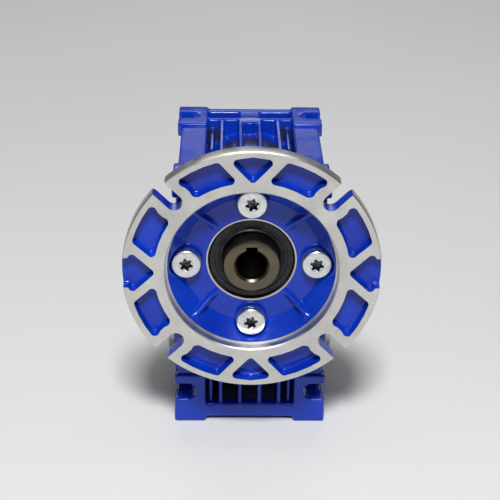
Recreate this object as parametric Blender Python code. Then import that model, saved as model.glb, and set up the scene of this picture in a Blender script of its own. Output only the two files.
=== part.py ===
"""Right-angle worm gearbox, 30 mm centre distance, with a round motor flange.

Lengths are in millimetres while a piece is shaped, and finish() turns them into metres.
X runs along the hollow output shaft, Y along the worm, with the motor flange
facing -Y, and Z is up.  The origin lies under the middle of the gearbox, in
the plane of its feet.
"""
import math

import bmesh
import bpy
from mathutils import Matrix, Vector

MM = 0.001
GAP = 0.3

# Driving dimensions of the gearbox
CENTRE_DISTANCE = 30.0
LENGTH = 80.0
HEIGHT = 97.0
WIDTH = 56.0
SHAFT_HEIGHT = 40.0
MOTOR_FACE_TO_OUTPUT = 55.0
FLANGE_DIAMETER = 90.0
SPIGOT_DIAMETER = 60.0
FLANGE_BOLT_CIRCLE = 75.0
FLANGE_SCREW_CIRCLE = 45.8
INPUT_BORE = 11.0
OUTPUT_BORE = 14.0
OUTPUT_LENGTH = 63.0
OUTPUT_BOLT_CIRCLE = 65.0
OUTPUT_BOSS_DIAMETER = 75.0
OUTPUT_PILOT_DIAMETER = 55.0
WHEEL_TEETH = 30

# Places that follow from them
FLANGE_FACE = -47.5
OUTPUT_Y = FLANGE_FACE + MOTOR_FACE_TO_OUTPUT
OUTPUT_Z = SHAFT_HEIGHT
WORM_Z = OUTPUT_Z + CENTRE_DISTANCE
FRONT = OUTPUT_Y - LENGTH / 2
REAR = OUTPUT_Y + LENGTH / 2
HALF_WIDTH = WIDTH / 2

# Feet: rails on both sides, thicker pads at their ends, open-ended slots
PLATE = 5.5
PAD_STEP = 1.3
RAIL_INNER = 16.5
RAIL_OUTER = 26.5
PAD_LENGTH = 20.0
SLOT_WIDTH = 6.5
SLOT_INNER_END = 19.8
FOOT_SLOT_OFFSET = 30.0
FACE_SLOT_OFFSET = 27.0
WEB_INNER = 17.0
WEB_OUTER = 21.5
FIN_PLACES = (-10.9, -3.65, 3.65, 10.9)
FIN_THICKNESS = 1.4

# Bores of the housing
CAVITY_RADIUS = 27.5
WORM_CHAMBER_RADIUS = 13.0
WORM_TUBE_RADIUS = 21.0
FRONT_BOSS_RADIUS = 26.8
FRONT_BOSS_END = -19.5
COVER_FACE = 24.7

# Bearings: bore radius, inner ring outside, outer ring inside, outside radius, width
OUTPUT_BEARING = (12.7, 15.2, 21.0, 23.5, 12.0)
FRONT_BEARING = (10.2, 12.4, 16.1, 18.5, 9.0)
REAR_BEARING = (6.3, 8.8, 13.3, 16.0, 10.0)
OUTPUT_BEARING_START = 11.5
FRONT_BEARING_START = -25.0
REAR_BEARING_START = 27.5
OUTPUT_SEAL_START = 24.1
OUTPUT_SEAL_END = 30.7

# Worm and wheel teeth
MODULE = (2 * CENTRE_DISTANCE - 16.0) / WHEEL_TEETH
WORM_PITCH_RADIUS = 8.0
WORM_CORE_RADIUS = 6.3
WORM_TIP_RADIUS = 9.2
WHEEL_PITCH_RADIUS = CENTRE_DISTANCE - WORM_PITCH_RADIUS
WORM_PITCH = math.pi * MODULE
FLANK_SLOPE = math.tan(math.radians(20.0))
WHEEL_HALF_FACE = 7.0

# Motor flange, as depths behind its front face
RIM_THICKNESS = 6.5
POCKET_DEPTH = 4.0
LEDGE_DEPTH = 4.0
BOWL_DEPTH = 10.4
FLANGE_BACK = 14.7
FLANGE_PILOT_END = 20.7
SEAL_SEAT_RADIUS = 15.3
BOLT_SLOT_WIDTH = 5.8

# Sides of round shapes, by how large and how visible they are
FINE = 36
MEDIUM = 24
SMALL = 12

CAST_BLUE = ("cast_blue_paint", (0.020, 0.075, 0.42), 0.32, 0.0)
STEEL = ("ground_steel", (0.42, 0.41, 0.39), 0.30, 1.0)
BEARING_STEEL = ("bearing_steel", (0.62, 0.62, 0.64), 0.18, 1.0)
SPRING_STEEL = ("spring_steel", (0.10, 0.10, 0.11), 0.40, 1.0)
BRONZE = ("bronze", (0.62, 0.40, 0.16), 0.35, 1.0)
ZINC = ("zinc_plate", (0.78, 0.79, 0.80), 0.30, 1.0)
RUBBER = ("black_rubber", (0.018, 0.018, 0.020), 0.60, 0.0)

AXES = {"X": (1, 2, 0), "Y": (0, 2, 1), "Z": (0, 1, 2)}


# ---------------------------------------------------------------- mesh helpers

def clear_scene():
    """Remove whatever the scene holds."""
    for obj in list(bpy.data.objects):
        bpy.data.objects.remove(obj, do_unlink=True)


def place(axis, first, second, along):
    """Return a point from two cross coordinates and one along axis."""
    point = [0.0, 0.0, 0.0]
    for index, value in zip(AXES[axis], (first, second, along)):
        point[index] = value
    return Vector(point)


def make_object(name, mesh_builder):
    """Turn a bmesh into an object with its faces pointing out."""
    bmesh.ops.recalc_face_normals(mesh_builder, faces=mesh_builder.faces[:])
    mesh = bpy.data.meshes.new(name)
    mesh_builder.to_mesh(mesh)
    mesh_builder.free()
    obj = bpy.data.objects.new(name, mesh)
    bpy.context.scene.collection.objects.link(obj)
    return obj


def prism(name, axis, outline, low, high):
    """Extrude a closed outline of (first, second) points from low to high."""
    builder = bmesh.new()
    bottom = [builder.verts.new(place(axis, u, v, low)) for u, v in outline]
    face = builder.faces.new(bottom)
    extruded = bmesh.ops.extrude_face_region(builder, geom=[face])
    top = [item for item in extruded["geom"] if isinstance(item, bmesh.types.BMVert)]
    bmesh.ops.translate(builder, verts=top, vec=place(axis, 0.0, 0.0, high - low))
    return make_object(name, builder)


def block(name, low, high):
    """Make a box between two corners."""
    outline = [(low[0], low[1]), (high[0], low[1]), (high[0], high[1]), (low[0], high[1])]
    return prism(name, "Z", outline, low[2], high[2])


def circle(centre, radius, segments, start=0.0, end=360.0):
    """Points of an arc, or of a whole circle when start and end are left out."""
    whole = end - start >= 360.0
    count = segments if whole else segments + 1
    angles = [math.radians(start + (end - start) * step / segments) for step in range(count)]
    return [(centre[0] + radius * math.cos(a), centre[1] + radius * math.sin(a)) for a in angles]


def cylinder(name, axis, centre, radius, low, high, segments=FINE):
    """Make a round bar along an axis."""
    return prism(name, axis, circle(centre, radius, segments), low, high)


def hole(axis, centre, radius, low, high):
    """Cutter for a small hole, turned a little so that no corner meets an edge of the piece."""
    return prism("hole", axis, circle(centre, radius, 10, 5.0, 365.0), low, high)


def turned(name, axis, centre, profile, segments=FINE):
    """Turn a closed profile of (radius, along) points about an axis."""
    builder = bmesh.new()
    rings = []
    for radius, along in profile:
        if radius == 0.0:
            rings.append([builder.verts.new(place(axis, *centre, along))] * segments)
            continue
        points = circle(centre, radius, segments)
        rings.append([builder.verts.new(place(axis, u, v, along)) for u, v in points])
    for ring, following in zip(rings, rings[1:] + rings[:1]):
        for step in range(segments):
            after = (step + 1) % segments
            corners = [ring[step], ring[after], following[after], following[step]]
            corners = [v for i, v in enumerate(corners) if v not in corners[:i]]
            if len(corners) > 2:
                builder.faces.new(corners)
    return make_object(name, builder)


def combine(target, tools, operation):
    """Apply a Boolean with each tool in turn, and remove the tools."""
    for tool in tools:
        modifier = target.modifiers.new(operation, "BOOLEAN")
        modifier.operation = operation
        modifier.object = tool
        depsgraph = bpy.context.evaluated_depsgraph_get()
        evaluated = target.evaluated_get(depsgraph)
        mesh = bpy.data.meshes.new_from_object(evaluated, depsgraph=depsgraph)
        target.modifiers.remove(modifier)
        spent = target.data
        target.data = mesh
        bpy.data.meshes.remove(spent)
        mesh.name = target.name
        bpy.data.objects.remove(tool, do_unlink=True)
    drop_spare_corners(target.data)
    return target


def drop_spare_corners(mesh):
    """Dissolve the corners that Booleans leave in the middle of straight edges and flat faces."""
    builder = bmesh.new()
    builder.from_mesh(mesh)
    limit = math.radians(0.2)
    bmesh.ops.dissolve_limit(builder, angle_limit=limit, verts=builder.verts[:], edges=builder.edges[:])
    builder.to_mesh(mesh)
    builder.free()


def add(target, tools):
    return combine(target, tools, "UNION")


def cut(target, tools):
    return combine(target, tools, "DIFFERENCE")


def finish(obj, finish_values, origin=None):
    """Give a piece its material, smooth shading, metres and, where it moves, its origin."""
    name, colour, roughness, metallic = finish_values
    material = bpy.data.materials.get(name)
    if material is None:
        material = bpy.data.materials.new(name)
        material.use_nodes = True
        shader = material.node_tree.nodes["Principled BSDF"]
        shader.inputs["Base Color"].default_value = (*colour, 1.0)
        shader.inputs["Roughness"].default_value = roughness
        shader.inputs["Metallic"].default_value = metallic
    obj.data.materials.clear()
    obj.data.materials.append(material)
    obj.data.transform(Matrix.Scale(MM, 4))
    obj.data.shade_smooth()
    obj.data.set_sharp_from_angle(angle=math.radians(30.0))
    if origin is not None:
        shift = Vector(origin) * MM
        obj.data.transform(Matrix.Translation(-shift))
        obj.location = shift
    return obj


def around(radius, count, first_angle=0.0):
    """Points spaced evenly on a circle about (0, 0)."""
    angles = [math.radians(first_angle + 360.0 * step / count) for step in range(count)]
    return [(radius * math.cos(a), radius * math.sin(a)) for a in angles]


# --------------------------------------------------------------------- housing

def foot_pads(side):
    """Thick pads at the ends of the rails on one side (+1 or -1)."""
    low_x, high_x = sorted((side * RAIL_INNER, side * HALF_WIDTH))
    top, bottom = HEIGHT - PLATE, PLATE
    upper_slot = OUTPUT_Z + FACE_SLOT_OFFSET
    spans = [
        ((FRONT, FRONT + PAD_LENGTH), (top, HEIGHT)),
        ((REAR - PAD_LENGTH, REAR), (top, HEIGHT)),
        ((FRONT, FRONT + PAD_LENGTH), (0.0, bottom)),
        ((REAR - PAD_LENGTH, REAR), (0.0, bottom)),
        ((FRONT, FRONT + PLATE), (0.0, PAD_LENGTH)),
        ((REAR - PLATE, REAR), (0.0, PAD_LENGTH)),
        ((REAR - PLATE, REAR), (upper_slot - PAD_LENGTH / 2, upper_slot + PAD_LENGTH / 2)),
    ]
    return [block("pad", (low_x, y[0], z[0]), (high_x, y[1], z[1])) for y, z in spans]


def foot_slots(side):
    """Cutters for the bolt slots, round inside and open on the outer side."""
    inner = side * (SLOT_INNER_END + SLOT_WIDTH / 2)
    outer = side * (HALF_WIDTH + 3.0)
    radius = SLOT_WIDTH / 2

    def outline(middle):
        start = 90.0 if side > 0 else -90.0
        arc = circle((inner, middle), radius, 6, start, start + 180.0)
        return arc + [(outer, arc[-1][1]), (outer, arc[0][1])]

    reach = PLATE + 1.5
    cutters = []
    for offset in (-FOOT_SLOT_OFFSET, FOOT_SLOT_OFFSET):
        points = outline(OUTPUT_Y + offset)
        cutters.append(prism("slot", "Z", points, -1.0, reach))
        cutters.append(prism("slot", "Z", points, HEIGHT - reach, HEIGHT + 1.0))
    for offset in (-FACE_SLOT_OFFSET, FACE_SLOT_OFFSET):
        points = outline(OUTPUT_Z + offset)
        cutters.append(prism("slot", "Y", points, REAR - reach, REAR + 1.0))
    front_points = outline(OUTPUT_Z - FACE_SLOT_OFFSET)
    cutters.append(prism("slot", "Y", front_points, FRONT - 1.0, FRONT + reach))
    return cutters


def side_frame(side):
    """Rail frame and web that stiffen one side of the casting."""
    low_x, high_x = sorted((side * (RAIL_INNER + 0.1), side * RAIL_OUTER))
    low = (low_x, FRONT + PAD_STEP, PAD_STEP)
    high = (high_x, REAR - PAD_STEP, HEIGHT - PAD_STEP)
    rails = block("rails", low, high)
    inside_low = (low_x - 1.0, FRONT + PLATE, PLATE)
    inside_high = (high_x + 1.0, REAR - PLATE, HEIGHT - PLATE)
    cut(rails, [block("inside", inside_low, inside_high)])
    web_low, web_high = sorted((side * WEB_INNER, side * WEB_OUTER))
    web = block("web", (web_low, FRONT + 2.0, 2.0), (web_high, REAR - 2.0, HEIGHT - 2.0))
    ridge_low, ridge_high = sorted((side * (WEB_INNER + 0.5), side * (RAIL_OUTER - 1.0)))
    ridges = []
    for height in (79.5, 83.5, 87.5):
        low = (ridge_low, FRONT + 3.0, height - 0.8)
        high = (ridge_high, REAR - 3.0, height + 0.8)
        ridges.append(block("ridge", low, high))
    return [rails, web] + ridges


def cooling_fins():
    """Thin upright fins between the rails, all the way round the case."""
    front, rear = FRONT + 1.2, REAR - 1.6
    outline = [
        (front, 7.0), (front, 46.0), (-24.0, 60.0), (-24.0, 94.0), (-20.0, 96.0), (35.5, 96.0),
        (35.5, 90.0), (rear, 90.0), (rear, 7.0), (41.0, 1.5), (-26.0, 1.5),
    ]
    half = FIN_THICKNESS / 2
    return [prism("fin", "X", outline, x - half, x + half) for x in FIN_PLACES]


def cross_bars():
    """Bars that tie the rails together at the top rear and along the bottom."""
    span = WEB_INNER + 1.0
    bars = [
        block("bar", (-span, REAR - 4.6, 88.0), (span, REAR - 0.8, HEIGHT - 0.6)),
        block("bar", (-span, 34.4, 86.0), (span, 36.6, HEIGHT - 0.8)),
        block("bar", (-span, FRONT + 0.7, 1.6), (span, FRONT + 4.4, 7.4)),
        block("bar", (-span, REAR - 4.4, 1.6), (span, REAR - 0.7, 7.4)),
    ]
    bars.append(cylinder("boss", "Z", (0.0, 36.4), 4.2, 85.0, HEIGHT - 0.7, SMALL))
    bars.append(block("boss", (-4.0, 36.6, 87.0), (4.0, REAR - 2.0, HEIGHT - 0.9)))
    return bars


def housing_bores():
    """Cutters for the wheel cavity, the worm chamber and the bearing seats."""
    output = (OUTPUT_Y, OUTPUT_Z)
    worm = (0.0, WORM_Z)
    seat_end = OUTPUT_BEARING_START + OUTPUT_BEARING[4] + GAP
    return [
        cylinder("cover_place", "X", output, OUTPUT_BOSS_DIAMETER / 2 + 1.5, COVER_FACE, 30.0),
        cylinder("cavity", "X", output, CAVITY_RADIUS, -OUTPUT_BEARING_START + GAP, 31.0),
        cylinder("seat", "X", output, OUTPUT_BEARING[3] + GAP, -seat_end, -10.0),
        cylinder("seat", "X", output, 20.3, -33.0, -seat_end + 1.0),
        cylinder("chamber", "Y", worm, WORM_CHAMBER_RADIUS, -18.0, 30.0, MEDIUM),
        cylinder("seat", "Y", worm, FRONT_BEARING[3] + GAP, FRONT - 2.0, -15.7),
        cylinder("groove", "Y", worm, 19.5, -26.8, -25.1),
        cylinder("seat", "Y", worm, REAR_BEARING[3] + GAP, REAR_BEARING_START - GAP, REAR + 2.0),
        cylinder("groove", "Y", worm, 17.3, 37.7, 39.3),
    ]


def tapped_holes():
    """Cutters for the screw holes on both sides and on the front boss."""
    cutters = []
    radius = OUTPUT_BOLT_CIRCLE / 2
    for u, v in around(radius, 4, 45.0):
        centre = (OUTPUT_Y + u, OUTPUT_Z + v)
        cutters.append(hole("X", centre, 2.5, -30.0, -19.0))
        cutters.append(hole("X", centre, 2.5, 18.0, 30.0))
    for u, v in around(radius, 4):
        cutters.append(hole("X", (OUTPUT_Y + u, OUTPUT_Z + v), 2.3, 14.0, 30.0))
    for u, v in around(FLANGE_SCREW_CIRCLE / 2, 4):
        cutters.append(hole("Y", (u, WORM_Z + v), 2.8, FRONT - 2.0, -20.6))
    return cutters


def make_housing():
    """The main casting."""
    output = (OUTPUT_Y, OUTPUT_Z)
    worm = (0.0, WORM_Z)
    case_radius = OUTPUT_BOSS_DIAMETER / 2
    pilot_radius = OUTPUT_PILOT_DIAMETER / 2
    body = cylinder("housing", "X", output, case_radius, -HALF_WIDTH, COVER_FACE + 1.0, FINE + 4)
    parts = [
        cylinder("pilot", "X", output, pilot_radius, -HALF_WIDTH - 3.0, -HALF_WIDTH + 2.0),
        cylinder("tube", "Y", worm, WORM_TUBE_RADIUS, FRONT + 0.5, REAR - 0.5, MEDIUM),
        cylinder("front_boss", "Y", worm, FRONT_BOSS_RADIUS, FRONT, FRONT_BOSS_END),
    ]
    for side in (-1, 1):
        parts += side_frame(side)
        parts += foot_pads(side)
    parts += cooling_fins()
    parts += cross_bars()
    add(body, parts)
    cut(body, housing_bores())
    cut(body, tapped_holes())
    cut(body, foot_slots(-1) + foot_slots(1))
    return finish(body, CAST_BLUE)


# ------------------------------------------------------------ cover and flange

def make_side_cover():
    """Round cover on the +X side, with the second output bearing seat."""
    output = (OUTPUT_Y, OUTPUT_Z)
    register = CAVITY_RADIUS - GAP
    seat = OUTPUT_BEARING[3] + GAP
    seat_end = OUTPUT_BEARING_START + OUTPUT_BEARING[4] + GAP
    pilot = OUTPUT_PILOT_DIAMETER / 2
    back = COVER_FACE + GAP
    profile = [
        (register, OUTPUT_BEARING_START), (register, 20.6), (26.0, 20.6), (26.0, 22.6),
        (register, 22.6), (register, back), (37.2, back), (37.2, HALF_WIDTH), (pilot, HALF_WIDTH),
        (pilot, HALF_WIDTH + 3.0), (20.3, HALF_WIDTH + 3.0), (20.3, seat_end), (seat, seat_end),
        (seat, OUTPUT_BEARING_START),
    ]
    cover = turned("side_cover", "X", output, profile, FINE)
    holes = []
    for u, v in around(OUTPUT_BOLT_CIRCLE / 2, 4, 45.0):
        holes.append(hole("X", (OUTPUT_Y + u, OUTPUT_Z + v), 2.5, 22.0, 30.0))
    sink = [(0.0, 22.0), (2.3, 22.0), (2.3, 25.8), (4.0, 27.5), (4.0, 30.0), (0.0, 30.0)]
    for u, v in around(OUTPUT_BOLT_CIRCLE / 2, 4):
        holes.append(turned("sink", "X", (OUTPUT_Y + u, OUTPUT_Z + v), sink, SMALL))
    cut(cover, holes)
    return finish(cover, CAST_BLUE)


def make_cover_ring():
    """Sealing ring in the groove of the side cover."""
    profile = [(26.3, 20.9), (27.2, 20.9), (27.2, 22.3), (26.3, 22.3)]
    ring = turned("cover_o_ring", "X", (OUTPUT_Y, OUTPUT_Z), profile, MEDIUM)
    return finish(ring, RUBBER)


def make_cover_screws():
    """Four countersunk socket screws that hold the side cover."""
    profile = [
        (0.0, 15.0), (2.0, 15.0), (2.0, 25.8), (3.7, 27.5),
        (3.7, 27.7), (1.4, 27.7), (1.4, 26.2), (0.0, 25.8),
    ]
    for number, (u, v) in enumerate(around(OUTPUT_BOLT_CIRCLE / 2, 4), start=1):
        screw = turned(f"cover_screw_{number}", "X", (OUTPUT_Y + u, OUTPUT_Z + v), profile, SMALL)
        finish(screw, ZINC)


def polar(radius, degrees):
    """A point at a radius and an angle about (0, 0)."""
    angle = math.radians(degrees)
    return (radius * math.cos(angle), radius * math.sin(angle))


def pocket_outline(quarter, mirror):
    """Four-sided pocket between the rim and the hub of the motor flange."""
    slot_at = FLANGE_BOLT_CIRCLE / 2 * math.sqrt(0.5)
    points = [polar(42.3, angle) for angle in (73.5, 68.0, 62.0, 56.0)]
    for angle in (106.0, 124.0, 142.0, 160.0):
        u, v = polar(6.8, angle)
        points.append((slot_at + u, slot_at + v))
    points += [polar(34.6, angle) for angle in (57.5, 65.0, 73.0, 79.0)]
    points.append((6.0, 35.2))
    return turn_outline(points, quarter, mirror)


def triangle_outline(quarter):
    """Three-sided pocket on an axis of the motor flange, open at the rim on its two sides."""
    if quarter % 2:
        crown = [(-4.8, 42.2), (-4.8, 48.0), (4.8, 48.0), (4.8, 42.2)]
    else:
        crown = [(-4.0, 42.0), (0.0, 42.3), (4.0, 42.0)]
    corners = [(-6.6, 40.6), (-6.3, 41.4)] + crown + [(6.3, 41.4), (6.6, 40.6)]
    return turn_outline(corners + [(0.8, 34.8), (-0.8, 34.8)], quarter, 1)


def turn_outline(points, quarter, mirror):
    """Mirror points given at the top of the flange and turn them by quarters."""
    angle = math.radians(90.0 * quarter)
    turned_points = []
    for u, v in points:
        u *= mirror
        x = u * math.cos(angle) - v * math.sin(angle)
        z = u * math.sin(angle) + v * math.cos(angle)
        turned_points.append((x, WORM_Z + z))
    return turned_points


def flange_gusset(quarter):
    """Low rib across the corner of the flange bowl, at 45 degrees."""
    foot = BOWL_DEPTH + 1.0
    profile = [(17.6, foot), (17.6, BOWL_DEPTH - 0.1), (28.6, 5.0), (30.5, 5.0), (30.5, foot)]
    half = 0.8
    direction = math.radians(45.0 + 90.0 * quarter)
    builder = bmesh.new()
    sides = []
    for offset in (-half, half):
        ring = []
        for radius, depth in profile:
            x = radius * math.cos(direction) - offset * math.sin(direction)
            z = radius * math.sin(direction) + offset * math.cos(direction)
            ring.append(builder.verts.new(Vector((x, FLANGE_FACE + depth, WORM_Z + z))))
        sides.append(ring)
    builder.faces.new(sides[0])
    builder.faces.new(sides[1])
    for step in range(len(profile)):
        after = (step + 1) % len(profile)
        builder.faces.new([sides[0][step], sides[0][after], sides[1][after], sides[1][step]])
    return make_object("gusset", builder)


def flange_blank():
    """The motor flange as turned, before its pockets, slots and holes."""
    rim = FLANGE_DIAMETER / 2
    spigot = SPIGOT_DIAMETER / 2
    seat = SEAL_SEAT_RADIUS
    depths = [
        (spigot + 0.4, 0.0), (rim - 0.3, 0.0), (rim, 0.3), (rim, 5.0), (rim - 0.6, RIM_THICKNESS),
        (33.5, RIM_THICKNESS), (30.0, 12.0), (26.8, FLANGE_BACK), (18.5, FLANGE_BACK),
        (18.5, 17.0), (17.4, 17.0), (17.4, 18.6), (18.5, 18.6), (18.5, FLANGE_PILOT_END),
        (seat, FLANGE_PILOT_END), (seat, BOWL_DEPTH + 1.0), (seat + 1.0, BOWL_DEPTH),
        (24.3, BOWL_DEPTH), (29.2, LEDGE_DEPTH), (spigot, LEDGE_DEPTH), (spigot, 0.4),
    ]
    profile = [(radius, FLANGE_FACE + depth) for radius, depth in depths]
    return turned("motor_flange", "Y", (0.0, WORM_Z), profile, FINE + 12)


def flange_pockets():
    """Cutters for the shallow pockets in the face of the motor flange."""
    start, floor = FLANGE_FACE - 1.0, FLANGE_FACE + POCKET_DEPTH
    cutters = []
    for quarter in range(4):
        cutters.append(prism("pocket", "Y", triangle_outline(quarter), start, floor))
        for mirror in (-1, 1):
            cutters.append(prism("pocket", "Y", pocket_outline(quarter, mirror), start, floor))
    return cutters


def motor_bolt_slots():
    """Cutters for the four open slots that take the motor's bolts."""
    half = BOLT_SLOT_WIDTH / 2
    reach = FLANGE_DIAMETER / 2 + 3.0
    inner_end = circle((0.0, FLANGE_BOLT_CIRCLE / 2), half, 6, 180.0, 360.0)
    outline = inner_end + [(half, reach), (-half, reach)]
    low, high = FLANGE_FACE - 1.0, FLANGE_FACE + RIM_THICKNESS + 1.5
    return [prism("bolt_slot", "Y", turn_outline(outline, quarter, 1), low, high)
            for quarter in (-0.5, 0.5, 1.5, 2.5)]


def make_motor_flange():
    """Dished flange that carries the motor and the input seal."""
    flange = flange_blank()
    add(flange, [flange_gusset(quarter) for quarter in range(4)])
    cutters = flange_pockets() + motor_bolt_slots()
    seat = FLANGE_FACE + BOWL_DEPTH + 0.1
    for u, v in around(FLANGE_SCREW_CIRCLE / 2, 4):
        centre = (u, WORM_Z + v)
        cutters.append(cylinder("spot_face", "Y", centre, 5.9, FLANGE_FACE - 1.0, seat, SMALL + 6))
        cutters.append(hole("Y", centre, 2.8, FLANGE_FACE + 5.0, FLANGE_FACE + FLANGE_BACK + 2.0))
    cut(flange, cutters)
    return finish(flange, CAST_BLUE)


def make_flange_ring():
    """Sealing ring between the motor flange and the housing."""
    start = FLANGE_FACE + 17.3
    profile = [(17.7, start), (18.5, start), (18.5, start + 1.0), (17.7, start + 1.0)]
    return finish(turned("flange_o_ring", "Y", (0.0, WORM_Z), profile, MEDIUM), RUBBER)


def make_flange_screws():
    """Four pan-head screws that hold the motor flange to the housing."""
    seat = FLANGE_FACE + BOWL_DEPTH - GAP
    heights = [
        (0.0, -16.0), (2.5, -16.0), (2.5, 0.0), (5.15, 0.0), (5.15, 2.4), (4.7, 3.2),
        (3.9, 3.7), (2.9, 3.8), (2.2, 3.8), (2.2, 2.0), (0.0, 1.6),
    ]
    profile = [(radius, seat - height) for radius, height in heights]
    for number, (u, v) in enumerate(around(FLANGE_SCREW_CIRCLE / 2, 4), start=1):
        screw = turned(f"flange_screw_{number}", "Y", (u, WORM_Z + v), profile, SMALL)
        finish(screw, ZINC)


# -------------------------------------------------------------- worm and wheel

def worm_thread():
    """Single-start thread, as a closed strip wound on the worm core."""
    per_turn = SMALL
    turns = 6
    root_half, tip_half = 1.42, 0.42
    steps = int(per_turn * turns)
    builder = bmesh.new()
    rings = []
    for step in range(steps + 1):
        angle = 2 * math.pi * step / per_turn
        along = OUTPUT_Y + WORM_PITCH * (step / per_turn - turns / 2)
        grow = min(1.0, min(step, steps - step) / 4.0)
        tip = WORM_CORE_RADIUS - 0.25 + (WORM_TIP_RADIUS - WORM_CORE_RADIUS + 0.25) * grow
        section = [(5.2, -root_half), (WORM_CORE_RADIUS - 0.3, -root_half), (tip, -tip_half),
                   (tip, tip_half), (WORM_CORE_RADIUS - 0.3, root_half), (5.2, root_half)]
        ring = []
        for radius, offset in section:
            u, v = radius * math.sin(angle), WORM_Z - radius * math.cos(angle)
            ring.append(builder.verts.new(Vector((u, along + offset, v))))
        rings.append(ring)
    for ring, following in zip(rings, rings[1:]):
        for index in range(len(ring)):
            after = (index + 1) % len(ring)
            builder.faces.new([ring[index], ring[after], following[after], following[index]])
    builder.faces.new(rings[0])
    builder.faces.new(rings[-1])
    return make_object("thread", builder)


def make_worm_shaft():
    """Hollow input shaft with the worm on it."""
    nose = FLANGE_FACE + 5.5
    journal = FRONT_BEARING[0] - GAP
    rear_journal = REAR_BEARING[0] - GAP
    rear_end = REAR_BEARING_START + REAR_BEARING[4] + 0.2
    profile = [
        (0.0, nose), (journal - 0.5, nose), (journal, nose + 0.5), (journal, -15.7), (12.0, -15.7),
        (12.0, -14.2), (9.0, -12.0), (WORM_CORE_RADIUS, -10.5), (WORM_CORE_RADIUS, 25.0),
        (8.0, 25.8), (8.0, 27.2), (rear_journal, 27.2), (rear_journal, rear_end - 0.5),
        (rear_journal - 0.5, rear_end), (0.0, rear_end),
    ]
    shaft = turned("worm_shaft", "Y", (0.0, WORM_Z), profile, MEDIUM)
    add(shaft, [worm_thread()])
    bore_radius = INPUT_BORE / 2
    bore = [
        (0.0, nose - 2.0), (bore_radius + 2.4, nose - 2.0), (bore_radius + 0.4, nose),
        (bore_radius, nose + 0.4), (bore_radius, -16.0), (0.0, -14.0),
    ]
    keyway = block("keyway", (-2.0, nose - 1.0, WORM_Z + 1.0), (2.0, -17.0, WORM_Z + 7.3))
    cut(shaft, [turned("bore", "Y", (0.0, WORM_Z), bore, MEDIUM + 2), keyway])
    return finish(shaft, STEEL, origin=(0.0, OUTPUT_Y, WORM_Z))


def wheel_tooth_ring(across):
    """Points round the teeth of the worm wheel at one place across its face."""
    lead_slope = WORM_PITCH / (2 * math.pi * WORM_PITCH_RADIUS)
    root = CENTRE_DISTANCE - math.sqrt((WORM_TIP_RADIUS + 0.5) ** 2 - across ** 2)
    throat = math.sqrt(max((WORM_CORE_RADIUS + 0.5) ** 2 - across ** 2, 0.0))
    tip = min(24.4, CENTRE_DISTANCE - throat)
    points = []
    for tooth in range(WHEEL_TEETH):
        middle = 2 * math.pi * (tooth + 0.5) / WHEEL_TEETH
        middle += across * lead_slope / WHEEL_PITCH_RADIUS
        for radius, sign in ((root, -1), (tip, -1), (tip, 1), (root, 1)):
            half = 0.90 + (WHEEL_PITCH_RADIUS - radius) * FLANK_SLOPE
            angle = middle + sign * max(half, 0.25) / radius
            u = OUTPUT_Y + radius * math.sin(angle)
            v = OUTPUT_Z + radius * math.cos(angle)
            points.append(place("X", u, v, across))
    return points


def join_rings(builder, ring, following):
    """Faces between two closed rings with the same number of points."""
    for step in range(len(ring)):
        after = (step + 1) % len(ring)
        builder.faces.new([ring[step], ring[after], following[after], following[step]])


def make_bronze_wheel():
    """Throated worm wheel rim, built as slices across its face."""
    places = [WHEEL_HALF_FACE * share for share in (-1.0, -0.5, 0.0, 0.5, 1.0)]
    bore_points = circle((OUTPUT_Y, OUTPUT_Z), 15.8, WHEEL_TEETH)
    builder = bmesh.new()
    teeth = [[builder.verts.new(point) for point in wheel_tooth_ring(across)] for across in places]
    bore = [[builder.verts.new(place("X", u, v, across)) for u, v in bore_points]
            for across in (places[0], places[-1])]
    for ring, following in zip(teeth, teeth[1:]):
        join_rings(builder, ring, following)
    join_rings(builder, bore[0], bore[1])
    for outer, inner in ((teeth[0], bore[0]), (teeth[-1], bore[1])):
        edges = [builder.edges.get((ring[i - 1], ring[i])) for ring in (outer, inner)
                 for i in range(len(ring))]
        bmesh.ops.triangle_fill(builder, use_beauty=True, edges=edges)
    wheel = make_object("bronze_wheel", builder)
    return finish(wheel, BRONZE, origin=(0.0, OUTPUT_Y, OUTPUT_Z))


def make_output_hub():
    """Hollow output shaft with its keyway."""
    end = OUTPUT_LENGTH / 2
    journal = OUTPUT_BEARING[0] - GAP
    shoulder = OUTPUT_BEARING_START - GAP
    bore = OUTPUT_BORE / 2
    profile = [
        (bore + 0.5, -end), (journal - 0.6, -end), (journal, -end + 0.6), (journal, -shoulder),
        (15.5, -shoulder), (15.5, shoulder), (journal, shoulder), (journal, end - 0.6),
        (journal - 0.6, end), (bore + 0.5, end), (bore, end - 0.5), (bore, -end + 0.5),
    ]
    hub = turned("output_hub", "X", (OUTPUT_Y, OUTPUT_Z), profile, MEDIUM)
    keyway_low = (-end - 1.0, OUTPUT_Y - 2.5, OUTPUT_Z + 1.0)
    keyway_high = (end + 1.0, OUTPUT_Y + 2.5, OUTPUT_Z + 9.3)
    cut(hub, [block("keyway", keyway_low, keyway_high)])
    return finish(hub, STEEL, origin=(0.0, OUTPUT_Y, OUTPUT_Z))


# ------------------------------------------------------- bearings, seals, clips

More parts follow.
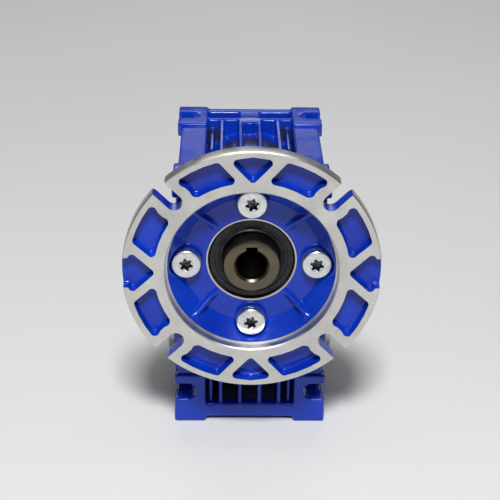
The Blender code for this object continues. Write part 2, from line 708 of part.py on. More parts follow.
def make_bearing(name, axis, centre, sizes, start, ball_count, origin):
    """Ball bearing: outer ring, inner ring, and the cage with its balls."""
    bore, inner_outside, outer_inside, outside, width = sizes
    middle = start + width / 2
    end = start + width
    outer = [(outer_inside, start), (outside, start), (outside, end), (outer_inside, end)]
    finish(turned(name + "_outer_ring", axis, centre, outer, MEDIUM), BEARING_STEEL)
    inner = [(bore, start), (inner_outside, start), (inner_outside, end), (bore, end)]
    finish(turned(name + "_inner_ring", axis, centre, inner, MEDIUM), BEARING_STEEL, origin)
    pitch = (inner_outside + outer_inside) / 2
    ball = (outer_inside - inner_outside) / 2 - 0.35
    half = ball * 0.55
    band = [(pitch - 0.35 * ball, middle - half), (pitch + 0.35 * ball, middle - half),
            (pitch + 0.35 * ball, middle + half), (pitch - 0.35 * ball, middle + half)]
    cage = turned(name + "_cage", axis, centre, band, MEDIUM)
    balls = []
    for u, v in around(pitch, ball_count, 4.0):
        arc = [(ball * math.sin(math.radians(a)), middle - ball * math.cos(math.radians(a)))
               for a in (0, 60, 120, 180)]
        arc[0] = (0.0, arc[0][1])
        arc[-1] = (0.0, arc[-1][1])
        balls.append(turned("ball", axis, (centre[0] + u, centre[1] + v), arc, 6))
    add(cage, balls)
    finish(cage, BEARING_STEEL, origin)


def make_oil_seal(name, axis, centre, inner, outer, face, back):
    """Lip seal: a rubber channel with its closed side at face."""
    step = 1.0 if back > face else -1.0
    profile = [
        (outer, face), (outer, back), (outer - 1.5, back), (outer - 1.5, face + 1.6 * step),
        (inner + 1.6, face + 1.6 * step), (inner + 1.2, back - 1.5 * step), (inner, back - 2.6 * step),
        (inner, face + 0.6 * step), (inner + 0.5, face),
    ]
    return finish(turned(name, axis, centre, profile, MEDIUM), RUBBER)


def make_circlip(name, inner, outer, start, end):
    """Internal retaining ring with a gap and two eared ends at the bottom."""
    profile = [(inner, start), (outer, start), (outer, end), (inner, end)]
    clip = turned(name, "Y", (0.0, WORM_Z), profile, MEDIUM)
    ears = []
    for side in (-1, 1):
        angle = math.radians(270.0 + 14.0 * side)
        reach = inner - 0.2
        centre = (reach * math.cos(angle), WORM_Z + reach * math.sin(angle))
        ears.append(cylinder("ear", "Y", centre, 1.9, start, end, 10))
    add(clip, ears)
    gap_low = (-2.4, start - 1.0, WORM_Z - outer - 1.0)
    gap_high = (2.4, end + 1.0, WORM_Z - inner + 3.5)
    cut(clip, [block("gap", gap_low, gap_high)])
    return finish(clip, SPRING_STEEL)


def make_rear_cap():
    """Cup pressed into the rear of the worm bore."""
    outside = REAR_BEARING[3]
    profile = [
        (0.0, 47.1), (outside - 0.6, 47.1), (outside, 46.5), (outside, 40.2),
        (outside - 2.0, 40.2), (outside - 2.0, 45.4), (0.0, 45.4),
    ]
    return finish(turned("rear_cap", "Y", (0.0, WORM_Z), profile, MEDIUM), RUBBER)


def main():
    clear_scene()
    output = (OUTPUT_Y, OUTPUT_Z)
    worm = (0.0, WORM_Z)
    output_origin = (0.0, OUTPUT_Y, OUTPUT_Z)
    worm_origin = (0.0, OUTPUT_Y, WORM_Z)
    make_housing()
    make_side_cover()
    make_cover_ring()
    make_cover_screws()
    make_motor_flange()
    make_flange_ring()
    make_flange_screws()
    make_worm_shaft()
    make_bronze_wheel()
    make_output_hub()
    right_start = OUTPUT_BEARING_START
    left_start = -OUTPUT_BEARING_START - OUTPUT_BEARING[4]
    make_bearing("right_bearing", "X", output, OUTPUT_BEARING, right_start, 9, output_origin)
    make_bearing("left_bearing", "X", output, OUTPUT_BEARING, left_start, 9, output_origin)
    make_bearing("front_bearing", "Y", worm, FRONT_BEARING, FRONT_BEARING_START, 11, worm_origin)
    make_bearing("rear_bearing", "Y", worm, REAR_BEARING, REAR_BEARING_START, 7, worm_origin)
    make_oil_seal("input_seal", "Y", worm, 10.2, 15.0, FLANGE_FACE + 11.6, FLANGE_FACE + 18.6)
    make_oil_seal("right_seal", "X", output, 12.7, 20.0, OUTPUT_SEAL_END, OUTPUT_SEAL_START)
    make_oil_seal("left_seal", "X", output, 12.7, 20.0, -OUTPUT_SEAL_END, -OUTPUT_SEAL_START)
    make_circlip("front_circlip", 16.6, 19.2, -26.5, -25.3)
    make_circlip("rear_circlip", 14.4, 17.0, 37.9, 39.1)
    make_rear_cap()


main()
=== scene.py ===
"""Looks of the worm gearbox: finely shaped castings, turned steel, materials, light and camera.

Shapes are worked out in millimetres and turned into metres when a mesh is made.  The castings
are signed distance fields, blended with fillets as a mould would leave them, and are then cut
by turned cutters, as a lathe would machine them.
"""
import math

import bmesh
import bpy
import numpy as np
from mathutils import Matrix, Vector


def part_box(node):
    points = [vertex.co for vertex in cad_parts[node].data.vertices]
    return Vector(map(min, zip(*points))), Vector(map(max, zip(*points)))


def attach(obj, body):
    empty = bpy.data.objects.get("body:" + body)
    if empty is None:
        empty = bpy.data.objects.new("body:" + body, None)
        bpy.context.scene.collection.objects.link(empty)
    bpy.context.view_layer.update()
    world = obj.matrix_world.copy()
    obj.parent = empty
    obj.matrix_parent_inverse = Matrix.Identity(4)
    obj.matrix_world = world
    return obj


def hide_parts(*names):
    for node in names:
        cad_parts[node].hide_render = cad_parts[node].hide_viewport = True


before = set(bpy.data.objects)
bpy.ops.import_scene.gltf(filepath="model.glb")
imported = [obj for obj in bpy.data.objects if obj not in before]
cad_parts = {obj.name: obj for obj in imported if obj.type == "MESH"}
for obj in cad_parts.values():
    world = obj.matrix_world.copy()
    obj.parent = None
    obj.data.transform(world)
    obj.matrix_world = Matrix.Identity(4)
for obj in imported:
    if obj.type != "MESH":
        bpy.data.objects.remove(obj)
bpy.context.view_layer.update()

MM = 0.001
FAR = 4.0


def corners(node):
    """A CAD node's lowest and highest corners, in millimetres."""
    low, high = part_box(node)
    return np.array(low) / MM, np.array(high) / MM


# ---------------------------------------------------------------- places from the frame
FLANGE_LOW, FLANGE_HIGH = corners("motor_flange")
HOUSING_LOW, HOUSING_HIGH = corners("housing")
COVER_LOW, COVER_HIGH = corners("side_cover")
HUB_LOW, HUB_HIGH = corners("output_hub")
WORM_LOW, WORM_HIGH = corners("worm_shaft")

FACE = FLANGE_LOW[1]
FLANGE_RADIUS = (FLANGE_HIGH[0] - FLANGE_LOW[0]) / 2
WORM_Z = (FLANGE_LOW[2] + FLANGE_HIGH[2]) / 2
FRONT, REAR = HOUSING_LOW[1], HOUSING_HIGH[1]
TOP = HOUSING_HIGH[2]
OUTPUT_Y = (HUB_LOW[1] + HUB_HIGH[1]) / 2
OUTPUT_Z = (HUB_LOW[2] + HUB_HIGH[2]) / 2
WORM = (0.0, WORM_Z)
OUTPUT = (OUTPUT_Y, OUTPUT_Z)
HALF_WIDTH = 28.0


# ---------------------------------------------------------------- distance fields

def rounded_box(low, high, radius=0.0):
    """Distance to a box with rounded edges."""
    middle = (np.array(low, float) + np.array(high, float)) / 2
    half = (np.array(high, float) - np.array(low, float)) / 2 - radius

    def distance(x, y, z):
        gaps = [abs(c - m) - h for c, m, h in zip((x, y, z), middle, half)]
        outside = np.sqrt(sum(np.maximum(g, 0.0) ** 2 for g in gaps))
        inside = np.minimum(np.maximum(np.maximum(gaps[0], gaps[1]), gaps[2]), 0.0)
        return outside + inside - radius

    return distance


def split(axis, x, y, z):
    """The two coordinates across an axis and the one along it."""
    return {"X": (y, z, x), "Y": (x, z, y), "Z": (x, y, z)}[axis]


def round_bar(axis, centre, radius, low, high, edge=0.0):
    """Distance to a cylinder with rounded rims."""
    middle, half = (low + high) / 2, (high - low) / 2 - edge

    def distance(x, y, z):
        u, v, along = split(axis, x, y, z)
        across = np.hypot(u - centre[0], v - centre[1]) - (radius - edge)
        length = abs(along - middle) - half
        outside = np.hypot(np.maximum(across, 0.0), np.maximum(length, 0.0))
        return outside + np.minimum(np.maximum(across, length), 0.0) - edge

    return distance


def polygon_distance(points, u, v):
    """Distance to a closed outline, negative inside it."""
    nearest = np.full(np.broadcast(u, v).shape, 1e9)
    inside = np.zeros(nearest.shape, bool)
    for (ax, ay), (bx, by) in zip(points, points[1:] + points[:1]):
        ex, ey = bx - ax, by - ay
        wx, wy = u - ax, v - ay
        t = np.clip((wx * ex + wy * ey) / (ex * ex + ey * ey), 0.0, 1.0)
        nearest = np.minimum(nearest, (wx - ex * t) ** 2 + (wy - ey * t) ** 2)
        crosses = ((ay <= v) & (by > v)) | ((by <= v) & (ay > v))
        if abs(ey) > 1e-9:
            inside ^= crosses & (u < ax + (v - ay) * ex / ey)
    return np.where(inside, -1.0, 1.0) * np.sqrt(nearest)


def plate(axis, outline, low, high, corner=0.0, draft=0.0, edge=0.0):
    """Distance to an extruded outline with rounded corners, widening by draft towards low."""
    middle, half = (low + high) / 2, (high - low) / 2

    def distance(x, y, z):
        u, v, along = split(axis, x, y, z)
        flat = polygon_distance(outline, u, v) - corner + draft * (along - low)
        length = abs(along - middle) - half
        return smooth_max(flat, length, edge) if edge else np.maximum(flat, length)

    return distance


def turned_solid(axis, centre, profile):
    """Distance to a profile of (radius, along) points turned about an axis."""

    def distance(x, y, z):
        u, v, along = split(axis, x, y, z)
        radius = np.hypot(u - centre[0], v - centre[1])
        step = 0.1
        radii = np.arange(0.0, radius.max() + 2 * step, step)
        places = np.arange(along.min() - step, along.max() + 2 * step, step)
        table = polygon_distance(profile, radii[:, None], places[None, :]).astype(np.float32)
        i = radius / step
        j = (along - places[0]) / step
        i0, j0 = i.astype(int), j.astype(int)
        fi, fj = (i - i0).astype(np.float32), (j - j0).astype(np.float32)
        near = table[i0, j0] * (1 - fi) + table[i0 + 1, j0] * fi
        far = table[i0, j0 + 1] * (1 - fi) + table[i0 + 1, j0 + 1] * fi
        return near * (1 - fj) + far * fj

    return distance


def smooth_min(a, b, blend):
    """Union of two fields with a fillet about as wide as blend."""
    if blend <= 0.0:
        return np.minimum(a, b)
    h = np.clip(0.5 + 0.5 * (b - a) / blend, 0.0, 1.0)
    return b * (1 - h) + a * h - blend * h * (1 - h)


def smooth_max(a, b, blend):
    """Overlap of two fields, blended in the same way."""
    return -smooth_min(-a, -b, blend)


class Casting:
    """A solid held as a grid of distances, built by adding and cutting shapes."""

    def __init__(self, low, high, step):
        self.low, self.step = np.array(low, float), step
        self.axes = [np.arange(a, b + step, step) for a, b in zip(low, high)]
        self.values = np.full([len(a) for a in self.axes], FAR, np.float32)

    def window(self, low, high):
        """Grid slices around a box, and the coordinates of their points."""
        margin = FAR
        slices = []
        for axis, a, b in zip(self.axes, low, high):
            first = max(int((a - margin - axis[0]) / self.step), 0)
            last = min(int((b + margin - axis[0]) / self.step) + 2, len(axis))
            slices.append(slice(first, max(last, first + 1)))
        x, y, z = (axis[s].astype(np.float32) for axis, s in zip(self.axes, slices))
        return tuple(slices), (x[:, None, None], y[None, :, None], z[None, None, :])

    def add(self, shape, low, high, blend=0.8):
        where, points = self.window(low, high)
        self.values[where] = smooth_min(self.values[where], shape(*points), blend)

    def cut(self, shape, low, high, blend=0.6):
        where, points = self.window(low, high)
        self.values[where] = smooth_max(self.values[where], -shape(*points), blend)

    def add_box(self, low, high, radius=0.7, blend=0.8):
        self.add(rounded_box(low, high, radius), low, high, blend)

    def bar_box(self, axis, centre, radius, low, high):
        """Lowest and highest corners of a cylinder."""
        (u, v), r = centre, radius
        return place(axis, u - r, v - r, low), place(axis, u + r, v + r, high)

    def add_bar(self, axis, centre, radius, low, high, edge=0.6, blend=0.8):
        box = self.bar_box(axis, centre, radius, low, high)
        self.add(round_bar(axis, centre, radius, low, high, edge), *box, blend)

    def cut_bar(self, axis, centre, radius, low, high, edge=0.0, blend=0.4):
        box = self.bar_box(axis, centre, radius, low, high)
        self.cut(round_bar(axis, centre, radius, low, high, edge), *box, blend)

    def surface(self):
        """Points and four-sided faces of the surface, by the surface nets method."""
        values = self.values
        inside = values < 0
        cells = np.zeros([n - 1 for n in values.shape], np.uint8)
        shifts = [(i, j, k) for i in (0, 1) for j in (0, 1) for k in (0, 1)]
        for i, j, k in shifts:
            cells += inside[i:i + cells.shape[0], j:j + cells.shape[1], k:k + cells.shape[2]]
        active = np.argwhere((cells > 0) & (cells < 8))
        number = np.full(cells.shape, -1, np.int32)
        number[tuple(active.T)] = np.arange(len(active))
        total = np.zeros((len(active), 3))
        hits = np.zeros(len(active))
        for start in shifts:
            for axis in range(3):
                if start[axis]:
                    continue
                end = list(start)
                end[axis] = 1
                a = values[tuple((active + start).T)]
                b = values[tuple((active + end).T)]
                crossing = (a < 0) != (b < 0)
                t = np.where(crossing, a / np.where(crossing, a - b, 1.0), 0.0)
                point = active + np.array(start, float)
                point[:, axis] += t
                total[crossing] += point[crossing]
                hits += crossing
        points = self.low + self.step * total / hits[:, None]
        return self.settle(points), self.faces(inside, number)

    def faces(self, inside, number):
        """A face across every grid edge that the surface crosses."""
        found = []
        for axis in range(3):
            others = [a for a in range(3) if a != axis]
            here = [slice(None)] * 3
            there = [slice(None)] * 3
            here[axis], there[axis] = slice(None, -1), slice(1, None)
            a, b = inside[tuple(here)], inside[tuple(there)]
            edges = np.argwhere(a != b)
            good = np.all([(edges[:, o] > 0) & (edges[:, o] < number.shape[o]) for o in others], axis=0)
            edges = edges[good]
            leaving = a[tuple(edges.T)]
            ring = []
            for du, dv in ((-1, -1), (0, -1), (0, 0), (-1, 0)):
                cell = edges.copy()
                cell[:, others[0]] += du
                cell[:, others[1]] += dv
                ring.append(number[tuple(cell.T)])
            quads = np.stack(ring, axis=1)
            flip = leaving if axis != 1 else ~leaving
            quads[~flip] = quads[~flip][:, ::-1]
            found.append(quads)
        return np.concatenate(found)

    def settle(self, points):
        """Moves points onto the surface along the field's slope."""
        for _ in range(3):
            value, slope = self.sample(points)
            size = np.maximum((slope ** 2).sum(1), 0.3)
            move = -slope * (value / size)[:, None]
            points = points + np.clip(move, -0.35 * self.step, 0.35 * self.step)
        return points

    def sample(self, points):
        """The field's value and slope at points between grid nodes."""
        at = (points - self.low) / self.step
        base = np.clip(at.astype(int), 0, np.array(self.values.shape) - 2)
        f = at - base
        value = np.zeros(len(points))
        slope = np.zeros((len(points), 3))
        for corner in [(i, j, k) for i in (0, 1) for j in (0, 1) for k in (0, 1)]:
            v = self.values[tuple((base + corner).T)]
            weights = [f[:, a] if corner[a] else 1 - f[:, a] for a in range(3)]
            value += v * weights[0] * weights[1] * weights[2]
            for a in range(3):
                b, c = (a + 1) % 3, (a + 2) % 3
                slope[:, a] += v * (1 if corner[a] else -1) * weights[b] * weights[c]
        return value, slope / self.step

    def make(self, name, material, keep=1.0):
        """The casting as an object, thinned to keep of its faces."""
        points, faces = self.surface()
        mesh = bpy.data.meshes.new(name)
        mesh.from_pydata(points.tolist(), [], faces.tolist())
        obj = link(name, mesh, material)
        if keep < 1.0:
            thin = obj.modifiers.new("thin", "DECIMATE")
            thin.ratio = keep
            bake(obj)
        return obj


# ---------------------------------------------------------------- mesh helpers

def link(name, mesh, material=None):
    """Put a mesh in the scene as an object."""
    obj = bpy.data.objects.new(name, mesh)
    bpy.context.scene.collection.objects.link(obj)
    if material is not None:
        mesh.materials.append(material)
    return obj


def bake(obj):
    """Replace an object's mesh by what its modifiers make of it."""
    graph = bpy.context.evaluated_depsgraph_get()
    mesh = bpy.data.meshes.new_from_object(obj.evaluated_get(graph), depsgraph=graph)
    spent = obj.data
    obj.modifiers.clear()
    obj.data = mesh
    mesh.name = obj.name
    bpy.data.meshes.remove(spent)
    return obj


def place(axis, u, v, along):
    """A point from two cross coordinates and one along an axis."""
    return {"X": (along, u, v), "Y": (u, along, v), "Z": (u, v, along)}[axis]


def circle(centre, radius, count):
    """Points around a circle."""
    angles = [2 * math.pi * i / count for i in range(count)]
    return [(centre[0] + radius * math.cos(a), centre[1] + radius * math.sin(a)) for a in angles]


def around(radius, count, first=0.0):
    """Points spaced evenly on a circle about (0, 0), first given in degrees."""
    angles = [math.radians(first + 360.0 * i / count) for i in range(count)]
    return [(radius * math.cos(a), radius * math.sin(a)) for a in angles]


def turned(name, axis, centre, profile, material, count=160):
    """Turn a closed profile of (radius, along) points into a mesh."""
    builder = bmesh.new()
    rings = []
    for radius, along in profile:
        if radius == 0.0:
            rings.append([builder.verts.new(place(axis, *centre, along))] * count)
        else:
            ring = circle(centre, radius, count)
            rings.append([builder.verts.new(place(axis, u, v, along)) for u, v in ring])
    for ring, following in zip(rings, rings[1:] + rings[:1]):
        for i in range(count):
            j = (i + 1) % count
            loop = list(dict.fromkeys([ring[i], ring[j], following[j], following[i]]))
            if len(loop) > 2:
                builder.faces.new(loop)
    return from_builder(name, builder, material)


def prism(name, axis, outline, low, high, material):
    """Extrude a closed outline."""
    builder = bmesh.new()
    bottom = [builder.verts.new(place(axis, u, v, low)) for u, v in outline]
    top = [builder.verts.new(place(axis, u, v, high)) for u, v in outline]
    builder.faces.new(bottom)
    builder.faces.new(top)
    for i in range(len(outline)):
        j = (i + 1) % len(outline)
        builder.faces.new([bottom[i], bottom[j], top[j], top[i]])
    return from_builder(name, builder, material)


def from_builder(name, builder, material):
    """Finish a bmesh as an object with its faces pointing out."""
    bmesh.ops.recalc_face_normals(builder, faces=builder.faces[:])
    mesh = bpy.data.meshes.new(name)
    builder.to_mesh(mesh)
    builder.free()
    return link(name, mesh, material)


def combine(target, tools, operation="DIFFERENCE"):
    """Apply Booleans that carry the tools' materials onto the faces they make."""
    for tool in tools:
        modifier = target.modifiers.new("combine", "BOOLEAN")
        modifier.operation = operation
        modifier.object = tool
        modifier.solver = "MANIFOLD"
        modifier.material_mode = "TRANSFER"
        bake(target)
        bpy.data.objects.remove(tool, do_unlink=True)
    return target


def piece(obj, body, nodes, sharp=32.0):
    """Scale a finished piece to metres and tie it to the frame."""
    obj.data.transform(Matrix.Scale(MM, 4))
    obj.data.shade_smooth()
    obj.data.set_sharp_from_angle(angle=math.radians(sharp))
    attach(obj, body)
    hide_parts(*nodes)
    return obj


# ---------------------------------------------------------------- materials

class Surface:
    """A material built from procedural nodes around one Principled shader."""

    def __init__(self, name, **values):
        self.material = bpy.data.materials.new(name)
        self.material.use_nodes = True
        self.nodes = self.material.node_tree.nodes
        self.links = self.material.node_tree.links
        self.shader = self.nodes["Principled BSDF"]
        for key, value in values.items():
            self.shader.inputs[key.replace("_", " ").title().replace("Ior", "IOR")].default_value = value
        self.place = self.nodes.new("ShaderNodeTexCoord").outputs["Object"]

    def node(self, kind, settings=None, **inputs):
        """Add a node, set its properties, and fill or wire its inputs."""
        node = self.nodes.new(kind)
        for key, value in (settings or {}).items():
            setattr(node, key, value)
        for key, value in inputs.items():
            socket = node.inputs[int(key[1:])] if key[1:].isdigit() else node.inputs[key.replace("_", " ")]
            if isinstance(value, bpy.types.NodeSocket):
                self.links.new(value, socket)
            else:
                socket.default_value = value
        return node

    def noise(self, scale, detail=3.0, rough=0.5, place=None):
        """Grey noise about scale cells to the metre."""
        made = self.node(
            "ShaderNodeTexNoise", Vector=place or self.place, Scale=scale, Detail=detail, Roughness=rough
        )
        return made.outputs["Fac"]

    def spread(self, value, low, high, start=0.35, end=0.65):
        """Stretch a value so that start..end becomes low..high."""
        made = self.node(
            "ShaderNodeMapRange", Value=value, From_Min=start, From_Max=end, To_Min=low, To_Max=high
        )
        return made.outputs["Result"]

    def blend(self, factor, first, second):
        """Mix two colours, each a tuple or a socket."""
        first, second = self.colour(first), self.colour(second)
        made = self.node("ShaderNodeMix", {"data_type": "RGBA"}, _0=factor, _6=first, _7=second)
        return made.outputs[2]

    def colour(self, value):
        return value if isinstance(value, bpy.types.NodeSocket) else (*value, 1.0)

    def maths(self, operation, first, second):
        return self.node("ShaderNodeMath", {"operation": operation}, _0=first, _1=second).outputs[0]

    def give(self, key, socket):
        self.links.new(socket, self.shader.inputs[key])

    def bump(self, height, distance, strength=1.0):
        """Raise the surface by a height socket, distance metres at most."""
        made = self.node("ShaderNodeBump", Height=height, Distance=distance, Strength=strength)
        self.links.new(made.outputs["Normal"], self.shader.inputs["Normal"])

    def rings(self, axis, centre, spacing):
        """Fine concentric lathe marks about an axis."""
        move = self.node("ShaderNodeMapping", Vector=self.place, Location=tuple(-c for c in centre))
        wobble = self.noise(90.0, 2.0)
        wave = self.node(
            "ShaderNodeTexWave", {"wave_type": "RINGS", "rings_direction": axis, "wave_profile": "SIN"},
            Vector=move.outputs["Vector"], Scale=0.314 / spacing,
            Distortion=0.35, Detail=2.0, Detail_Scale=3.0,
        )
        return self.maths("MULTIPLY", wave.outputs["Fac"], self.spread(wobble, 0.55, 1.0))


def blue_enamel(name, painted_shade_spots=()):
    """Glossy thick blue paint on rough cast aluminium, with dark brown painted shade around the given
    spots.
    """
    made = Surface(name, roughness=0.3, coat_weight=0.25, coat_roughness=0.05, specular_ior_level=0.3)
    cloud = made.spread(made.noise(45.0, 4.0), 0.0, 1.0)
    deep = (0.0008, 0.025, 0.36)
    bright = (0.0014, 0.042, 0.49)
    body = made.blend(cloud, deep, bright)
    dust = made.spread(made.noise(260.0, 5.0, 0.7), 0.0, 0.05, 0.56, 0.78)
    body = made.blend(dust, body, (0.10, 0.14, 0.30))
    # Painted shade: dark brown patches with a ragged edge around each spot on the channel floors.
    for spot, reach in painted_shade_spots:
        gap = made.node("ShaderNodeVectorMath", {"operation": "DISTANCE"}, _0=made.place, _1=spot)
        edge = made.maths("MULTIPLY", made.noise(500.0, 4.0), reach * 0.5)
        ragged = made.maths("ADD", gap.outputs["Value"], edge)
        body = made.blend(made.spread(ragged, 0.9, 0.0, reach, reach * 1.25), body, (0.035, 0.028, 0.020))
    made.give("Base Color", body)
    made.give("Roughness", made.spread(made.noise(120.0, 4.0), 0.16, 0.34))
    peel = made.noise(620.0, 2.0, 0.4)
    cast = made.noise(260.0, 3.0, 0.55)
    height = made.maths("ADD", made.maths("MULTIPLY", peel, 0.4), made.maths("MULTIPLY", cast, 0.5))
    made.bump(height, 0.00011, 0.5)
    return made.material


def machined_aluminium(name, axis, centre, colour=(0.66, 0.655, 0.635), spacing=0.00028):
    """Bare turned aluminium with concentric marks and faint stains."""
    made = Surface(name, metallic=1.0, roughness=0.4)
    stain = made.spread(made.noise(70.0, 5.0, 0.6), 0.0, 1.0)
    scuff = made.spread(made.noise(900.0, 2.0, 0.6), 0.0, 1.0)
    dull = tuple(c * 0.84 for c in colour)
    clean = tuple(c * 1.15 for c in colour)
    base = made.blend(stain, dull, colour)
    made.give("Base Color", made.blend(made.maths("MULTIPLY", scuff, 0.25), base, clean))
    made.give("Roughness", made.spread(made.noise(150.0, 4.0), 0.30, 0.46))
    made.bump(made.rings(axis, centre, spacing), 0.000012, 0.7)
    return made.material


def ground_steel(name, axis, centre, colour=(0.40, 0.385, 0.36), rough=(0.20, 0.36), oil=0.5):
    """Turned steel with an oily film and brown stains."""
    made = Surface(name, metallic=1.0, roughness=0.3)
    patch = made.spread(made.noise(110.0, 5.0, 0.65), 0.0, oil)
    made.give("Base Color", made.blend(patch, colour, (0.17, 0.125, 0.075)))
    made.give("Roughness", made.spread(made.noise(240.0, 4.0), *rough))
    made.bump(made.rings(axis, centre, 0.00022), 0.000008, 0.6)
    return made.material


def zinc_plate(name):
    """Bright zinc-plated steel with a slightly mottled passivated film."""
    made = Surface(name, metallic=1.0, roughness=0.28)
    mottle = made.spread(made.noise(420.0, 4.0, 0.6), 0.0, 1.0)
    warm = made.blend(mottle, (0.66, 0.68, 0.70), (0.80, 0.80, 0.77))
    film = made.spread(made.noise(150.0, 3.0), 0.0, 0.35)
    made.give("Base Color", made.blend(film, warm, (0.60, 0.66, 0.74)))
    made.give("Roughness", made.spread(made.noise(650.0, 3.0), 0.22, 0.42))
    made.bump(made.noise(1800.0, 2.0), 0.000012, 0.5)
    return made.material


def black_rubber(name, colour=(0.006, 0.006, 0.008), rough=(0.30, 0.50)):
    """Moulded nitrile rubber with a thin film of oil."""
    made = Surface(name, roughness=0.45, specular_ior_level=0.35)
    bloom = made.spread(made.noise(300.0, 5.0, 0.6), 0.0, 1.0)
    made.give("Base Color", made.blend(bloom, colour, tuple(c * 2.2 + 0.004 for c in colour)))
    made.give("Roughness", made.spread(made.noise(180.0, 4.0), *rough))
    made.bump(made.noise(1500.0, 3.0), 0.00002, 0.5)
    return made.material


def bright_metal(name, light, dark, rough=(0.12, 0.25), grain=800.0):
    """Polished or tumbled metal with a fine grain."""
    made = Surface(name, metallic=1.0, roughness=0.2)
    haze = made.spread(made.noise(grain * 0.2, 4.0, 0.6), 0.0, 1.0)
    made.give("Base Color", made.blend(haze, light, dark))
    made.give("Roughness", made.spread(made.noise(grain * 0.4, 4.0), *rough))
    made.bump(made.noise(grain, 3.0), 0.00001, 0.5)
    return made.material


WORM_AXIS = (0.0, 0.0, WORM_Z * MM)
OUTPUT_AXIS = (0.0, OUTPUT_Y * MM, OUTPUT_Z * MM)
BLUE = blue_enamel("blue_enamel")
SHADED_SPOTS = [((x * MM, y * MM, 90.0 * MM), reach * MM) for x, y, reach in (
    (0.0, 24.5, 4.6), (-7.3, 24.5, 4.4), (7.3, 24.5, 4.4), (-14.2, 37.0, 5.0), (14.2, 37.0, 5.0),
)]
CASE_BLUE = blue_enamel("case_enamel", SHADED_SPOTS)
FACED = machined_aluminium("faced_aluminium", "Y", WORM_AXIS)
SIDE_FACED = machined_aluminium("side_faced_aluminium", "X", OUTPUT_AXIS)
WORM_STEEL = ground_steel("worm_steel", "Y", WORM_AXIS, (0.125, 0.11, 0.09), (0.22, 0.38), 0.7)
HUB_STEEL = ground_steel("hub_steel", "X", OUTPUT_AXIS, oil=0.35)
ZINC = zinc_plate("zinc_plate")
RUBBER = black_rubber("seal_rubber")
# Dark metal for the screw recesses: painted shade in the hollows of the zinc-plated heads.
RECESS_PAINTED_SHADE = bright_metal("recess_painted_shade", (0.20, 0.21, 0.22), (0.07, 0.07, 0.075), (0.25, 0.40))
RING_STEEL = bright_metal("bearing_ring_steel", (0.62, 0.62, 0.64), (0.50, 0.50, 0.53))
SPRING = bright_metal("spring_steel", (0.085, 0.085, 0.09), (0.05, 0.045, 0.045), (0.30, 0.45))
BRONZE = bright_metal("wheel_bronze", (0.62, 0.40, 0.17), (0.45, 0.27, 0.11), (0.22, 0.38), 500.0)


# ---------------------------------------------------------------- motor flange

def inset(points, amount):
    """Move every edge of an outline inwards, keeping its corners sharp."""
    area = sum(ax * by - bx * ay for (ax, ay), (bx, by) in zip(points, points[1:] + points[:1]))
    side = amount if area > 0 else -amount
    lines = []
    for (ax, ay), (bx, by) in zip(points, points[1:] + points[:1]):
        length = math.hypot(bx - ax, by - ay)
        nx, ny = -(by - ay) / length, (bx - ax) / length
        lines.append((ax + nx * side, ay + ny * side, bx - ax, by - ay))
    found = []
    for (px, py, dx, dy), (qx, qy, ex, ey) in zip(lines[-1:] + lines[:-1], lines):
        cross = dx * ey - dy * ex
        t = ((qx - px) * ey - (qy - py) * ex) / cross
        found.append((px + dx * t, py + dy * t))
    return found


def polar(radius, degrees):
    """A point on a circle about (0, 0)."""
    angle = math.radians(degrees)
    return (radius * math.cos(angle), radius * math.sin(angle))


def steps(start, end, count):
    """Evenly spaced numbers, both ends included."""
    return [start + (end - start) * i / (count - 1) for i in range(count)]


def turn(points, degrees, mirror=1):
    """Mirror an outline given at the top of the flange and turn it about the worm axis."""
    c, s = math.cos(math.radians(degrees)), math.sin(math.radians(degrees))
    return [(mirror * u * c - v * s, WORM_Z + mirror * u * s + v * c) for u, v in points]


def pocket_outlines():
    """The eight four-sided pockets and four triangles in the face of the flange."""
    slot_at = 37.5 * math.sqrt(0.5)
    arc_pocket = [polar(42.5, a) for a in steps(74.0, 54.5, 4)]
    for angle in steps(108.0, 160.0, 4):
        u, v = polar(6.9, angle)
        arc_pocket.append((slot_at + u, slot_at + v))
    arc_pocket += [polar(34.2, a) for a in steps(57.4, 78.5, 4)]
    arc_pocket.append((6.1, 34.6))
    closed = [(-7.5, 41.6), (0.0, 42.7), (7.5, 41.6), (0.0, 33.6)]
    opened = [(-7.6, 41.7), (-5.4, 42.6), (-5.2, 50.0), (5.2, 50.0), (5.4, 42.6), (7.6, 41.7), (0.0, 33.6)]
    found = []
    for quarter in range(4):
        found.append(turn(opened if quarter % 2 else closed, 90.0 * quarter))
        for mirror in (-1, 1):
            found.append(turn(arc_pocket, 90.0 * quarter, mirror))
    return found


def gusset(direction):
    """Distance to a low rib that climbs from the seal boss to the rim of the bowl."""
    c, s = math.cos(math.radians(direction)), math.sin(math.radians(direction))
    crest = [(16.0, 12.5), (17.4, 10.9), (28.4, 5.7), (31.5, 5.0), (31.5, 12.5)]
    rounding = 0.75

    def distance(x, y, z):
        along = x * c + (z - WORM_Z) * s
        off = abs(z * c - WORM_Z * c - x * s) - 0.1
        flat = polygon_distance(crest, along, y - FACE)
        outside = np.hypot(np.maximum(flat, 0.0), np.maximum(off, 0.0))
        return outside + np.minimum(np.maximum(flat, off), 0.0) - rounding

    return distance


